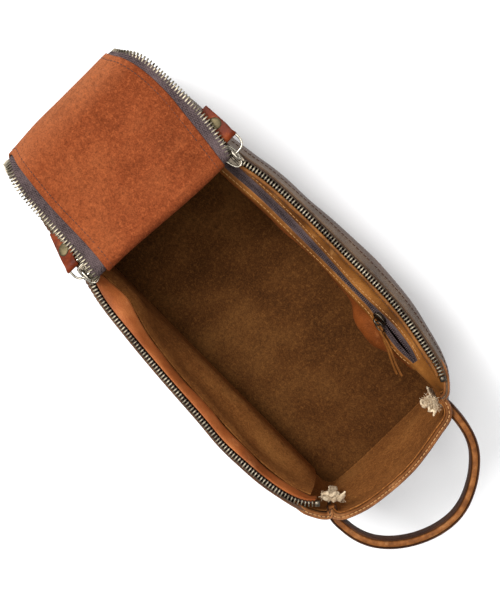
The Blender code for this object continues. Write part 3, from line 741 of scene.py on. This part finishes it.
def right_pocket():
    """Facing band, the pocket zip with its parted end, its stitched binding and full panel."""
    xs = np.linspace(-124, 118.5, 150)
    teeth = through(TEETH_LINE["right"], xs)
    soft = ripple(xs / 100.0, 0 * xs, 0.45) * 0.5
    top, low = through(TAPE_TOP, xs), through(TAPE_LOW, xs)
    face = across_profile(xs, [(teeth - 1.9, 113.4), (teeth - 1.9, 116.3), (teeth - 2.9, 116.8), (
        teeth - 4.0 + soft, 115.6
    ), ((teeth + top) / 2 - 0.6 + soft, 111.2), (top + 0.3, 106.8), (top - 0.3, 106.0)])
    piece = skin("facing_band_right", face, 1.2, LOOK["facing"], -facing_out(face))
    placed(piece, "bag", "facing_leather", "facing_right")
    normal = skin_normal(face)[:, 13] * -facing_out(face)
    stitches("facing_stitch_upper", face[
        4:-4, 14
    ] + normal[4:-4] * 0.15, normal[4:-4], LOOK["thread"], 2.9, 2.1, 0.5, slot="facing_leather")
    stitches("facing_stitch_lower", face[
        4:-8, -7
    ] + normal[4:-8] * 0.15, normal[4:-8], LOOK["pale_thread"], 2.9, 2.1, 0.5, slot="facing_leather")

    run = np.linspace(-122, 106.0, 180)
    top, low = through(TAPE_TOP, run), through(TAPE_LOW, run)
    parting = POCKET_SLIDER_X - 2.0
    gap = np.sin(math.pi * np.clip((run - parting) / (104.5 - parting), 0, 1)) ** 0.8 * 1.2
    middle = (top + low) / 2
    end = ease((run - 98.0) / 8.0)
    upper = across_profile(run, [(top + 0.6, 106.0), (top - 0.5, 105.2), (middle + 0.3 + gap, 102.4)])
    lower = across_profile(run, [(middle - 0.3 - gap, 101.8), (low + 0.3, 98.4), (low - 0.2, 97.0)])
    for name, grid, nodes in (
        ("pocket_tape_upper", upper, ("pocket_tape",)), ("pocket_tape_lower", lower, ())
    ):
        grid[..., 0] -= 3.0 * end[:, None] * np.abs(grid[..., 1] - middle[:, None]) / 6.0
        placed(skin(name, grid, 0.7, LOOK["tape"], -facing_out(grid)), "bag", "zip_tape", *nodes)
    for name, sign, nodes in (
        ("pocket_coil_upper", 1.0, ("pocket_coil",)), ("pocket_coil_lower", -1.0, ())
    ):
        centre = np.column_stack([
            run, middle + sign * (0.5 + gap) - 0.5, 102.4 + sign * 0.35 + 0.2 * gap * sign + 0.4
        ])[3:-3]
        shape, quads, caps = block_shape(0.75, 1.5, 1.0, 2.0, 8)
        spots = even(centre, int(lengths(centre)[-1] / COIL_PITCH))
        piece = copies(name, shape, quads, caps, spots, frames_along(spots, (0, -0.55, 0.83)), LOOK["tape"])
        placed(piece, "bag", "zip_tape", *nodes)

    run = np.linspace(-122, 108.0, 150)
    low, bind, bulge = through(TAPE_LOW, run), through(BIND_LOW, run), through(PANEL_BULGE, run)
    face = across_profile(run, [(low + 1.2, 97.8), (low + 0.2, 98.8), (
        (low + bind) / 2 - 0.3, 96.6
    ), (bind - 0.3, 93.0), (bind + 0.6, 91.4)])
    piece = skin("pocket_binding", face, 1.3, LOOK["facing"], -facing_out(face))
    placed(piece, "bag", "facing_leather")
    normal = skin_normal(face)[:, 10] * -facing_out(face)
    stitches("pocket_binding_stitch", face[
        3:-3, 10
    ] + normal[3:-3] * 0.15, normal[3:-3], LOOK["pale_thread"], 2.9, 2.1, 0.5, slot="facing_leather")
    wave = ripple(run / 100.0, 0 * run, 0.5, 1.0) * 1.2
    face = across_profile(run, [(bind + 1.0, 93.2), (bind + wave * 0.3 - 0.6, 88.0), (bulge + wave, 75.0), (
        bulge + 2.0 + wave, 58.0
    ), (bulge * 0.5 + 26.0, 36.0), (54.5 + 0 * run, 14.0), (55.5 + 0 * run, 7.0)])
    piece = skin("pocket_panel_skin", face, 1.1, LOOK["panel"], -facing_out(face))
    placed(piece, "bag", "facing_leather", "pocket_panel")

    xs = np.linspace(104.0, 128.0, 24)
    top = 57.4 - 5.5 * ease((xs - 116.0) / 12.0)
    face = across_profile(xs, [(top, 116.5), (
        through(TAPE_TOP, xs) - 0.6, 106.0
    ), (46.0 + 0 * xs, 96.0), (47.0 + 0 * xs, 76.0), (50.0 + 0 * xs, 50.0), (53.0 + 0 * xs, 12.0)])
    piece = skin("corner_lining_right", face, 1.0, LOOK["facing"], -facing_out(face))
    placed(piece, "bag", "facing_leather")


def left_pocket():
    """Facing band on the left and the slip pocket panel under it."""
    xs = np.linspace(-124, 121.0, 150)
    teeth, inner = through(TEETH_LINE["left"], xs), through(FACING_INNER, xs)
    soft = ripple(xs / 100.0, 0 * xs, 0.4, 2.0) * 0.5
    inner = np.maximum(inner, teeth + 3.6)
    face = across_profile(xs, [(teeth + 1.9, 113.2), (teeth + 1.9, 116.2), (teeth + 2.7, 116.8), (
        (teeth + inner) / 2 + 1.2 + soft, 113.5
    ), (inner + soft, 106.5), (inner - 0.6 + soft, 103.5), (inner - 2.0, 101.5)])
    # The left facing band takes the lighter facing copy, painted light.
    piece = skin("facing_band_left", face, 1.2, LOOK["lit"], -facing_out(face))
    placed(piece, "bag", "facing_leather", "facing_left")
    squeeze(piece, "left")
    run = np.linspace(-124, 118.0, 150)
    inner = np.maximum(through(FACING_INNER, run), through(TEETH_LINE["left"], run) + 3.6)
    wave = ripple(run / 100.0, 0 * run, 0.5, 3.0) * 1.0
    face = across_profile(run, [(inner + 0.2, 99.0), (
        inner + 1.6 + 0.4 * wave, 92.0
    ), (inner + 3.0 + wave, 76.0), (-53.0 + wave, 50.0), (-54.5 + 0 * run, 24.0), (-55.5 + 0 * run, 8.0)])
    piece = skin("slip_pocket_skin", face, 1.0, LOOK["lining"], -facing_out(face))
    placed(piece, "bag", "lining", "slip_pocket_panel")
    squeeze(piece, "left")


# Rims and corner bindings

WELT = [(-1.9, -4.0), (-2.0, -0.4), (-1.75, 0.5), (-1.3, 0.95), (-0.8, 0.75), (
    -0.4, -0.05
), (0.0, -0.3), (0.4, -0.05), (0.8, 0.75), (1.3, 0.95), (1.75, 0.5), (2.0, -0.4), (1.9, -4.0)]


def rims():
    """The turned edges: two rolls with a sewn groove between, along the handle end and round
    the two corners, and a welt along the hinge end."""
    line = route(HANDLE_RIM, 120)
    share = np.linspace(0, 1, 120)
    height = 115.2 + 1.4 * np.sin(share * math.pi) ** 0.5 + 0.35 * ripple(share, 0 * share, 0.22)
    path = np.column_stack([line, height])
    piece = sweep("rim_roll_handle_end", path, WELT, LOOK["edge"])
    placed(piece, "bag", "body_leather", "rim_handle_end")
    stitches("rim_stitch_handle_end", path + [0, 0, 0.15], (0, 0, 1), LOOK["pale_thread"], 2.8, 2.0, 0.8)
    for side, first in (("right", 108.0), ("left", 113.0)):
        line = route(RIMS[side], 400)
        line = even(line[line[:, 0] > first], 50)
        inward = SIGN[side] * 1.2 * (1 - ease((line[:, 0] - first) / 10.0))
        line = line - np.column_stack([0 * line[:, 0], inward])
        rise = ease(np.linspace(0, 3, 50))
        path = np.column_stack([line, 114.6 + 2.2 * rise])
        piece = sweep("corner_roll_" + side, path, WELT, LOOK["edge"])
        placed(piece, "bag", "body_leather")
        squeeze(piece, side)
        squeeze(stitches(
            "corner_stitch_" + side, path + [0, 0, 0.15], (0, 0, 1), LOOK["pale_thread"], 2.8, 2.0, 0.8
        ), side)
    for side in ("right", "left"):
        face = wall_face(side, -0.75, 103.6, TOPS[side] + 0.3, 14)
        # The right band takes the greyer copy, a painted glancing sheen; the left keeps the browner turned
        # edge.
        piece = skin(
            "turned_band_" + side, face, 1.1, LOOK["band" if side == "right" else "turned"],
            facing_out(face)
        )
        squeeze(placed(piece, "bag", "body_leather"), side)
    line = route(HINGE_RIM, 80)
    piece = sweep("hinge_welt", np.column_stack([
        line, np.full(80, 117.0)
    ]), round_outline(1.7, 1.7, 12), LOOK["outer"])
    placed(piece, "bag", "body_leather")
    for side in ("right", "left"):
        face = wall_face(side, -1.0, 100.0, 112.0, 8)
        line = face[8:-8, 4]
        normal = skin_normal(face)[8:-8, 4] * facing_out(face)
        squeeze(stitches("wall_stitch_" + side, line, normal, LOOK["dark_thread"], 3.2, 2.3, 0.6), side)


def bindings():
    """Raw cotton tape over each corner seam: a crumpled strip, wider and puckered at its top,
    with loose fibres."""
    rng = np.random.default_rng(4)
    for side in ("right", "left"):
        out = SIGN[side]
        corner = np.array([128.0, 42.6] if side == "right" else [129.5, -48.6])
        z = np.linspace(56.0, 113.5, 60)
        v = np.linspace(-1, 1, 25)
        top = ease((z - 100.0) / 12.0)
        half = 2.2 + (3.6 if side == "right" else 4.6) * top
        lean = (7.0 if side == "right" else 5.5) * ease((z - 104.0) / 9.0)
        along = np.array([0.98, 0.17] if side == "right" else [0.75, 0.66])
        into = np.array([0.17, -0.98] if side == "right" else [-0.66, 0.75])
        fold = 1.5 * ripple(z[:, None] / 100.0, v[None] * 0.06, 0.05, 2.0) * (0.3 + top[:, None])
        fold = fold + 1.2 * np.sin(v[None] * 7 + z[:, None] * 0.5) * top[:, None]
        plan = corner + along * (v[None] * half[:, None])[
            ..., None
        ] + into * (lean[:, None] + fold)[..., None]
        face = np.concatenate([plan, np.broadcast_to(z[:, None, None], plan.shape[:2] + (1,))], -1)
        face[..., 2] += 0.9 * np.sin(v * 9.0)[None] * top[:, None]
        piece = skin("corner_tape_" + side, face, 1.2, LOOK["cotton"])
        placed(piece, "bag", "cotton", "seam_binding_" + side)
        squeeze(piece, side)
        count = 90
        a, b = rng.uniform(-1, 1, count), rng.uniform(0, 1, count)
        base = np.column_stack([
            corner + along * (a * (half[-1] + 0.7))[:, None] + into * (5.0 * b)[:, None], 106.0 + 8.0 * b
        ])
        aim = unit(rng.normal(0, 1, (count, 3)) + np.array([-0.4, -0.4 * out, 0.8]))
        side_way = unit(np.cross(aim, rng.normal(0, 1, (count, 3))))
        shape, quads, caps = block_shape(1.0, 0.26, 0.26, 2.0, 5)
        frames = np.stack(
            [aim * rng.uniform(2.5, 5.5, count)[:, None], side_way, np.cross(aim, side_way)], -1
        )
        piece = copies("corner_fibres_" + side, shape, quads, caps, base, frames, LOOK["cotton"])
        placed(piece, "bag", "cotton")
        squeeze(piece, side)


# Lid

CHAIN = {
    "right": [
        (-62, 56.05), (-14, 56.05), (0, 57.8), (6.3, 59.8), (17.6, 62.4), (29.7, 64.0), (50, 64.4),
        (69, 64.0), (80, 63.2), (87, 61.2), (92, 58.2), (97, 55.0), (104, 52.6), (112, 52), (146, 54),
        (166, 54), (174, 52.5)
    ],
    "left": [
        (-62, -47.6), (-46, -48.2), (-25, -50.2), (-14, -52.0), (0, -54.0), (7.8, -53.0), (18.2, -51.6),
        (36.6, -50.6), (53, -49.8), (71.6, -49.0), (81.6, -47.8), (90.8, -45.6), (99, -43.2), (111, -45),
        (146, -52), (174, -50)
    ],
}
PANEL = {
    "right": [
        (-75, 52), (-14, 52), (0, 51.6), (7.5, 52.7), (17.4, 54.0), (36, 56.1), (52.8, 57.8), (63.2, 57.9),
        (73, 57.4), (83.5, 55.8), (91.3, 53.2), (98, 49.8), (106, 48.2), (146, 50), (166, 50), (180, 48),
        (186, 42)
    ],
    "left": [
        (-75, -42), (-46, -42.5), (-14, -45), (0, -44.5), (5.8, -43.2), (12.8, -42.4), (24, -41.7),
        (58, -40.8), (69.5, -39.9), (81, -38.7), (92, -37.4), (100, -36.4), (111, -40), (146, -48),
        (180, -46), (186, -40)
    ],
}
RUNS = {"rear": (-73.5, 0.0), "fold": (0.0, 20.0), "hang": (20.0, 185.8)}


def lid_spot(run, y, out):
    """The lid's centre line in profile, run measured from the front of the fold: flat over the
    bag, a half circle at the fold, flat again on top, a quarter circle over the hinge end and
    straight down, its corners drawn in 2.6 mm and its rear edge bent down 2.6 mm. out is the
    distance from that line, positive on the suede side. The fold's front edge lies 1.5 mm
    forward on the right and 3.3 mm back on the left."""
    run, y, out = np.broadcast_arrays(np.asarray(run, float), y, out)
    half = math.pi * FOLD_R / 2
    curl_start = half + (FOLD_X - FOLD_R) - (BEND_X + CURL_R)
    curl_end = curl_start + math.pi * CURL_R / 2
    fold_turn = np.clip((run + half) / (2 * half), 0, 1) * math.pi
    curl_turn = np.clip((run - curl_start) / (curl_end - curl_start), 0, 1) * math.pi / 2
    x = (FOLD_X - FOLD_R) + FOLD_R * np.sin(fold_turn) - np.maximum(-half - run, 0.0)
    z = (FOLD_LOW + FOLD_R) - FOLD_R * np.cos(fold_turn)
    x = x - np.clip(run - half, 0, curl_start - half) - CURL_R * np.sin(curl_turn)
    z = z - CURL_R * (1 - np.cos(curl_turn)) - np.maximum(
        run - curl_end, 0.0
    ) - 2.6 * ease((-64.0 - run) / 9.0)
    turn = fold_turn + curl_turn
    x = x + (1.5 - 4.8 * ease((45.0 - y) / 90.0)) * np.exp(-(run / 13.0) ** 2)
    x = x + (2.6 * np.abs((y - 8.0) / 50.0) ** 3 - 0.4) * ease((run - curl_start + 45.0) / 60.0)
    return np.stack([x + out * np.sin(turn), y + 0 * x, z - out * np.cos(turn)], -1)


def bent(piece, part):
    """Bakes a lid piece's placement into its mesh."""
    if part == "rear":
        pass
    elif part == "fold":
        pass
    else:
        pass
    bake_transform(piece)
    return piece


LID_NODES = {
    "rear": {"leather": ("lid_rear_leather",), "suede": ("lid_rear_suede",)},
    "fold": {"leather": ("lid_fold",), "suede": ()},
    "hang": {
        "leather": ("lid_middle_leather", "lid_tip_leather"), "suede": ("lid_middle_suede", "lid_tip_suede")
    },
}


def lid():
    """Leather outside, suede inside, zip tape and teeth along both long edges."""
    for part, (first, last) in RUNS.items():
        count = {"rear": 60, "fold": 30, "hang": 150}[part]
        run = np.linspace(first, last, count)
        share = np.linspace(0, 1, 60)
        left, right = through(PANEL["left"], run), through(PANEL["right"], run)
        y = left[:, None] + (right - left)[:, None] * share[None]
        edge = np.sin(share * math.pi)[None] ** 0.4
        calm = np.exp(-(run[:, None] / 9.0) ** 2)
        wave = ripple(run[:, None] / 100.0, y / 100.0, 0.9) * 0.8 * edge * (1 - calm)
        sag = -0.9 * np.sin(share * math.pi)[None] * (1 - calm)
        for layer, out, slot, look in (
            ("leather", -2.3, "body_leather", "outer"), ("suede", 2.3, "suede", "suede")
        ):
            lift = (wave + sag) if layer == "suede" else wave * 0.4
            along = run * (66.0 / 73.5) if (part, layer) == ("rear", "suede") else run
            face = lid_spot(along[:, None], y, out + lift)
            half = count // 2
            at = run[half], y[half, 30]
            outside = skin_normal(face)[half, 30] @ (lid_spot(*at, out * 1.5) - lid_spot(*at, out))
            name = "lid_%s_%s_skin" % (part, layer)
            piece = skin(name, face, 1.6, LOOK[look], 1.0 if outside >= 0 else -1.0)
            named(bent(piece, part), slot, *LID_NODES[part][layer])
        for side in ("left", "right"):
            lid_edge(part, side, run)


def lid_edge(part, side, run):
    """Zip tape, teeth and the stitch line along one long edge of a lid part."""
    out = SIGN[side]
    seat = max(run[0], -60.0), min(run[-1], 174.0)
    reach = run[(run >= seat[0] - 0.01) & (run <= seat[1] + 0.01)]
    panel_y, chain_y = through(PANEL[side], reach), through(CHAIN[side], reach)
    share = np.linspace(0, 1, 9)
    y = (panel_y - out * 4.0)[:, None] + (chain_y - panel_y + out * 4.0)[:, None] * share[None]
    face = lid_spot(reach[:, None], y, 0.4)
    piece = skin("lid_%s_tape_cloth_%s" % (part, side), face, 0.8, LOOK["tape"], 1.0)
    panels = {"rear": ["rear"], "fold": [], "hang": ["middle", "tip"]}[part]
    named(bent(piece, part), "zip_tape", *["lid_%s_tape_%s" % (one, side) for one in panels])
    path = lid_spot(reach, chain_y, 0.0)
    ahead = lid_spot(reach, chain_y, 1.0) - path
    count = int(lengths(path)[-1] / TOOTH_PITCH)
    far = lengths(path)
    at = (np.arange(count) + 0.5) * far[-1] / count
    spots = np.stack([np.interp(at, far, path[:, k]) for k in range(3)], 1)
    ups = np.stack([np.interp(at, far, ahead[:, k]) for k in range(3)], 1)
    shape, quads, caps = block_shape(1.0, 4.8, 2.6, 5.0, 12)
    piece = copies("lid_%s_tooth_row_%s" % (
        part, side
    ), shape, quads, caps, spots, frames_along(spots, ups), LOOK["teeth"])
    named(bent(piece, part), "antique_brass", *["lid_%s_teeth_%s" % (one, side) for one in panels])
    inner = run[2:-2] if part != "hang" else run[1:-6]
    line = lid_spot(inner, through(PANEL[side], inner) - out * 3.6, 2.1)
    ups = lid_spot(inner, through(PANEL[side], inner) - out * 3.6, 3.15) - line
    piece = stitches(
        "lid_%s_stitch_%s" % (part, side), line, ups, LOOK["dark_thread"], 2.6, 1.9, 0.5, body=None
    )
    named(bent(piece, part), "suede")


# Sliders, rings and pulls

def plate(name, outline, low, high, bevel, look, place):
    """A flat plate with eased edges: rings of the outline drawn in by the bevel at both faces."""
    outline = np.asarray(outline, float)
    centre = outline.mean(0)
    reach = np.linalg.norm(outline - centre, axis=1, keepdims=True)
    rings = []
    for inset, z in ((bevel, low), (bevel * 0.3, low + bevel * 0.3), (0, low + bevel), (0, high - bevel), (
        bevel * 0.3, high - bevel * 0.3
    ), (bevel, high)):
        rings.append(np.column_stack([
            centre + (outline - centre) * (1 - inset / reach), np.full(len(outline), z)
        ]))
    count = len(outline)
    caps = [list(range(count)), list(range(5 * count, 6 * count))[::-1]]
    points = place(np.concatenate(rings))
    return build(name, points, net(6, count, close_columns=True), look, extra=caps)


def slider(side):
    """A zip slider: a shield-shaped plate with a lip and a ridge, a flange down its side, a bail
    over the top, a squared wire ring and a folded leather pull held by a domed rivet."""
    out = SIGN[side]
    x0 = SLIDER_X[side]
    y0 = SLIDER_Y[side]
    mid_y = RING_Y[side]
    t = np.linspace(0, math.tau, 40, endpoint=False)
    wide = (4.4 - 0.9 * np.cos(t)) * np.sign(np.sin(t)) * np.abs(np.sin(t)) ** 0.75
    shield = np.column_stack([7.6 * np.cos(t), wide])

    def place(p):
        return np.column_stack([x0 + p[:, 0], out * (y0 + p[:, 1]), p[:, 2]])

    body = plate("slider_top_" + side, shield + [0, 0.3], 120.9, 122.3, 0.5, LOOK["steel"], place)
    placed(body, "slider_" + side, "antique_steel", "slider_" + side)
    wing = plate(
        "slider_flange_" + side, shield * [0.96, 0.25] + [0, 4.0], 117.6, 121.2, 0.4, LOOK["steel"], place
    )
    placed(wing, "slider_" + side, "antique_steel")
    # The lip is a thin ring of the lighter steel round the dark plate: a painted edge highlight.
    path = place(np.column_stack([shield * 0.94 + [0, 0.3], np.full(40, 122.2)]))
    placed(sweep(
        "slider_lip_" + side, path, round_outline(0.42, 0.42, 8), LOOK["bright"], closed=True
    ), "slider_" + side, "antique_steel")
    ridge = place(np.array([[-6.2, 0.3, 122.3], [-2.0, 0.3, 122.7], [2.0, 0.3, 122.7], [5.6, 0.3, 122.3]]))
    placed(sweep(
        "slider_ridge_" + side, route(ridge, 24), round_outline(0.8, 0.5, 10), LOOK["steel"]
    ), "slider_" + side, "antique_steel")
    arch = [(
        -4.4, 121.8
    ), (-4.3, 123.6), (-3.3, 125.0), (-1.5, 125.5), (1.5, 125.5), (3.3, 125.0), (4.3, 123.6), (4.4, 121.8)]
    path = route([(x0 + x, out * (y0 + 2.6), z) for x, z in arch], 40)
    bail = sweep("slider_bail_" + side, path, round_outline(0.7, 1.1, 10), LOOK["bright"], (0, 1, 0))
    placed(bail, "slider_" + side, "antique_steel")

    near, far = x0, x0 - RING_LONG
    corners = []
    for cx, cy, start, r in ((near, mid_y + 3.8, 0, 5.4), (far, mid_y + 3.8, 90, 2.0), (
        far, mid_y - 6.6, 180, 2.0
    ), (near, mid_y - 6.6, 270, 2.0)):
        inner = (cx + (r if cx == far else -r), cy + (r if cy < mid_y else -r))
        for k in range(9):
            a = math.radians(start + 11.25 * k)
            corners.append((inner[0] + r * math.cos(a), out * (inner[1] + r * math.sin(a)), RING_Z))
    piece = sweep("pull_ring_" + side, corners, round_outline(0.75, 0.75, 10), LOOK["bright"], closed=True)
    placed(piece, "ring_" + side, "antique_steel", "ring_" + side)

    droop, yaw = PULL_DROOP[side], PULL_YAW[side]

    def hang(p):
        """From (along, across, out) at the ring's bar into the bag."""
        a = p[..., 0] * math.cos(yaw)
        y = mid_y + p[..., 1] + p[..., 0] * math.sin(yaw)
        x = far + a * math.cos(droop) - p[..., 2] * math.sin(droop)
        z = RING_Z + a * math.sin(droop) + p[..., 2] * math.cos(droop)
        return np.stack([x, out * y, z], -1)

    eye = [(
        -PULL_LONG[side], 1.75
    ), (-19.0, 1.85), (-12.0, 1.9), (-6.0, 2.0), (-3.0, 2.35), (0.0, 2.55), (2.0, 1.6), (2.65, 0.0)]
    around = route(eye + [(a, -b) for a, b in eye[::-1][1:]], 70)
    across = np.linspace(-4.1, 4.1, 14)
    sheet = (around[:, None, 0], across[None], around[:, None, 1])
    grid = np.stack([np.broadcast_to(one, (70, 14)) for one in sheet], -1)
    neck = 1.0 - 0.14 * np.exp(-((grid[..., 0] + 1.0) / 3.5) ** 2)
    grid[..., 1] *= neck
    face = hang(grid)
    lifted = hang(np.array([-20.0, 0, 5.0])) - hang(np.array([-20.0, 0, 0.0]))
    outward = skin_normal(face)[5, 7] @ lifted
    piece = skin("pull_tab_" + side, face, 1.5, LOOK["pull"], 1.0 if outward > 0 else -1.0)
    placed(piece, "pull_" + side, "pull_leather", "pull_" + side)
    turn = np.arange(28) * math.tau / 28
    rings = []
    for r, h in ((0.05, -3.2), (2.2, -3.0), (3.3, -2.4), (3.5, -1.9), (1.4, -1.7), (1.4, 1.7), (3.8, 1.9), (
        3.95, 2.15
    ), (3.7, 2.45), (2.9, 2.65), (1.5, 2.8), (0.05, 2.85)):
        rings.append(np.column_stack([-11.0 + r * np.cos(turn), r * np.sin(turn), np.full(28, h)]))
    points = hang(np.concatenate(rings))
    caps = [list(range(28)), list(range(11 * 28, 12 * 28))[::-1]]
    piece = build("pull_rivet_" + side, points, net(12, 28, close_columns=True), LOOK["rivet"], extra=caps)
    placed(piece, "pull_" + side, "antique_brass", "rivet_" + side)


def pocket_slider():
    """The small slider of the inner pocket, its oval ring and doubled leather cord."""
    down = unit(np.array([0.0, -5.6, -8.4]))
    out = unit(np.array([0.0, -8.4, 5.6]))
    along = np.array([1.0, 0.0, 0.0])
    middle = np.array([POCKET_SLIDER_X, 55.0, 102.2])

    def place(p):
        return middle + p[:, :1] * along + p[:, 1:2] * down + p[:, 2:] * out

    t = np.linspace(0, math.tau, 32, endpoint=False)
    wide = (2.9 - 0.5 * np.cos(t)) * np.sign(np.sin(t)) * np.abs(np.sin(t)) ** 0.8
    shield = np.column_stack([5.2 * np.cos(t), wide])
    piece = plate("pocket_slider_plate", shield, 2.0, 3.2, 0.4, LOOK["steel"], place)
    placed(piece, "pocket_slider", "antique_steel", "pocket_slider")
    piece = plate("pocket_slider_post", shield * [0.8, 0.9], 0.7, 2.1, 0.2, LOOK["steel"], place)
    placed(piece, "pocket_slider", "antique_steel")
    arch = route(
        [(-2.7, 0, 2.8), (-2.5, 0, 5.8), (-1.2, 0, 6.9), (1.2, 0, 6.9), (2.5, 0, 5.8), (2.7, 0, 2.8)], 30
    )
    piece = sweep("pocket_slider_bail", place(arch), round_outline(0.5, 0.8, 8), LOOK["steel"], down)
    placed(piece, "pocket_slider", "antique_steel")
    aim = unit(along + down * 0.62)
    across = np.cross(out, aim)
    near = middle + out * 5.2
    hub = near + aim * 4.0
    turn = np.arange(36) * math.tau / 36
    path = hub + aim * (4.0 * np.cos(turn))[:, None] + across * (3.2 * np.sin(turn))[:, None]
    piece = sweep("pocket_pull_ring", path, round_outline(0.5, 0.5, 8), LOOK["steel"], out, closed=True)
    placed(piece, "pocket_pull", "antique_steel", "pocket_ring")
    tail = near + aim * 8.0
    for k, (side, lift) in enumerate(((1.0, 1.9), (-1.0, 0.9))):
        knots = [
            (0.0, 0.0, 0.2 * lift), (-1.4, 0.3 * side, 1.2 * side), (0.5, 0.6 * side, 1.5 * side + 0.3),
            (6.0, 1.1 * side, lift * 0.6), (14.0, 1.7 * side, lift * 0.9), (24.0, 2.1 * side, 1.2 + lift),
            (33.0, 2.6 * side + 0.6, 2.0 + lift)
        ]
        path = route([tail + aim * a + across * b + out * c for a, b, c in knots], 60)
        piece = sweep(
            "pocket_pull_strand_%d" % (k + 1), path, round_outline(0.95, 0.6, 10, 2.6), LOOK["facing"], out
        )
        placed(piece, "pocket_pull", "pull_leather", *(("pocket_cord",) if k == 0 else ()))


# Handle

HANDLE_LINE = [
    (131.5, -51.5), (137, -54.6), (146, -54.6), (155, -53.2), (164, -49.6), (172, -43.6), (179, -35.5),
    (185, -25), (189, -13), (190.2, -1.5), (188.4, 9), (184, 19), (178, 28), (169, 37), (161, 41.3),
    (151, 43.9), (142, 44.8), (137, 45.0), (131.5, 44.0)
]


def handle():
    """A strap loop on edge, three plies thick: dark burnished outer plies and a paler core."""
    line = route(HANDLE_LINE, 160)
    share = np.linspace(0, 1, 160)
    ends = np.minimum(share, 1 - share)
    half = 6.8 * np.sqrt(np.clip(ends / 0.07, 0.2, 1.0))
    for name, offset, thick, drop, look in ((
        "inner", -2.6, 1.2, 0.25, "strap_edge"
    ), ("core", 0.0, 4.1, 0.0, "strap"), ("outer", 2.6, 1.2, 0.25, "strap_edge")):
        oval = round_outline(1.0, 1.0, 20, 5.0)
        outline = np.stack([np.column_stack([
            offset + oval[:, 0] * thick / 2, oval[:, 1] * (h - drop)
        ]) for h in half])
        path = np.column_stack([line, np.full(160, HANDLE_Z)])
        piece = sweep("handle_ply_" + name, path, outline, LOOK[look])
        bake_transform(piece)
        nodes = ("handle_strap", "handle_end_left", "handle_end_right") if name == "core" else ()
        named(piece, "body_leather", *nodes)


for one in ("right", "left"):
    zip_half(one)
    slider(one)
right_pocket()
left_pocket()
rims()
bindings()
lid()
pocket_slider()
handle()


# Stage

def stage():
    """A pale floor, a white surround and two area lights."""
    mesh = bpy.data.meshes.new("floor")
    far = 6.0
    mesh.from_pydata([(-far, -far, 0), (far, -far, 0), (far, far, 0), (-far, far, 0)], [], [(0, 1, 2, 3)])
    floor = bpy.data.objects.new("floor", mesh)
    bpy.context.collection.objects.link(floor)
    paint = Finish("pale floor", 0.9)
    speck = paint.noise(40.0, 2.0)
    paint.feed("Base Color", paint.mix(speck, tint(252, 252, 252), tint(248, 248, 249)))
    mesh.materials.append(paint.material)

    world = bpy.data.worlds.new("studio")
    bpy.context.scene.world = world
    world.use_nodes = True
    world.node_tree.nodes["Background"].inputs["Color"].default_value = (1.0, 1.0, 1.0, 1.0)
    world.node_tree.nodes["Background"].inputs["Strength"].default_value = 0.68

    def lamp(name, place, aim, size, power):
        data = bpy.data.lights.new(name, "AREA")
        data.shape = "SQUARE"
        data.size = size
        data.energy = power
        held = bpy.data.objects.new(name, data)
        bpy.context.collection.objects.link(held)
        look_at(held, place, aim)

    lamp("key", (-0.8, -0.22, 1.6), (0.0, 0.0, 0.08), 0.6, 26.0)
    lamp("overhead", (-0.1, 0.05, 2.0), (0.0, 0.0, 0.05), 1.0, 16.0)
    bpy.context.scene.view_settings.view_transform = "Standard"


def look_at(held, place, aim, up=None):
    """Turns an object so that its -Z points from place to aim."""
    back = (Vector(place) - Vector(aim)).normalized()
    up = Vector(up) if up is not None else Vector((0, 0, 1))
    right = up.cross(back).normalized()
    held.matrix_world = Matrix.Translation(Vector(place)) @ Matrix((
        right, back.cross(right), back
    )).transposed().to_4x4()


def camera():
    """The camera stands a metre over the rim, a little to the pocket side, and is rolled so
    that the bag runs from upper left to lower right."""
    aim = np.array([1.7, 6.0, 119.0])
    place = aim + np.array([0.0, 85.0, 1000.0])
    heading = unit(aim - place)
    along = unit(np.array([1.0, 0, 0]) - heading * heading[0])
    across = np.cross(along, heading)
    across = across if across[1] > 0 else -across
    roll = math.radians(45.3)
    up = -math.sin(roll) * along + math.cos(roll) * across
    data = bpy.data.cameras.new("camera")
    data.sensor_fit = "VERTICAL"
    data.sensor_height = 36.0
    data.lens = data.sensor_height * float(np.linalg.norm(place - aim)) / VIEW_HIGH
    data.clip_start, data.clip_end = 0.01, 50.0
    held = bpy.data.objects.new("camera", data)
    bpy.context.collection.objects.link(held)
    look_at(held, tuple(place * MM), tuple(aim * MM), tuple(up))
    bpy.context.scene.camera = held


stage()
camera()

bpy.context.view_layer.update()
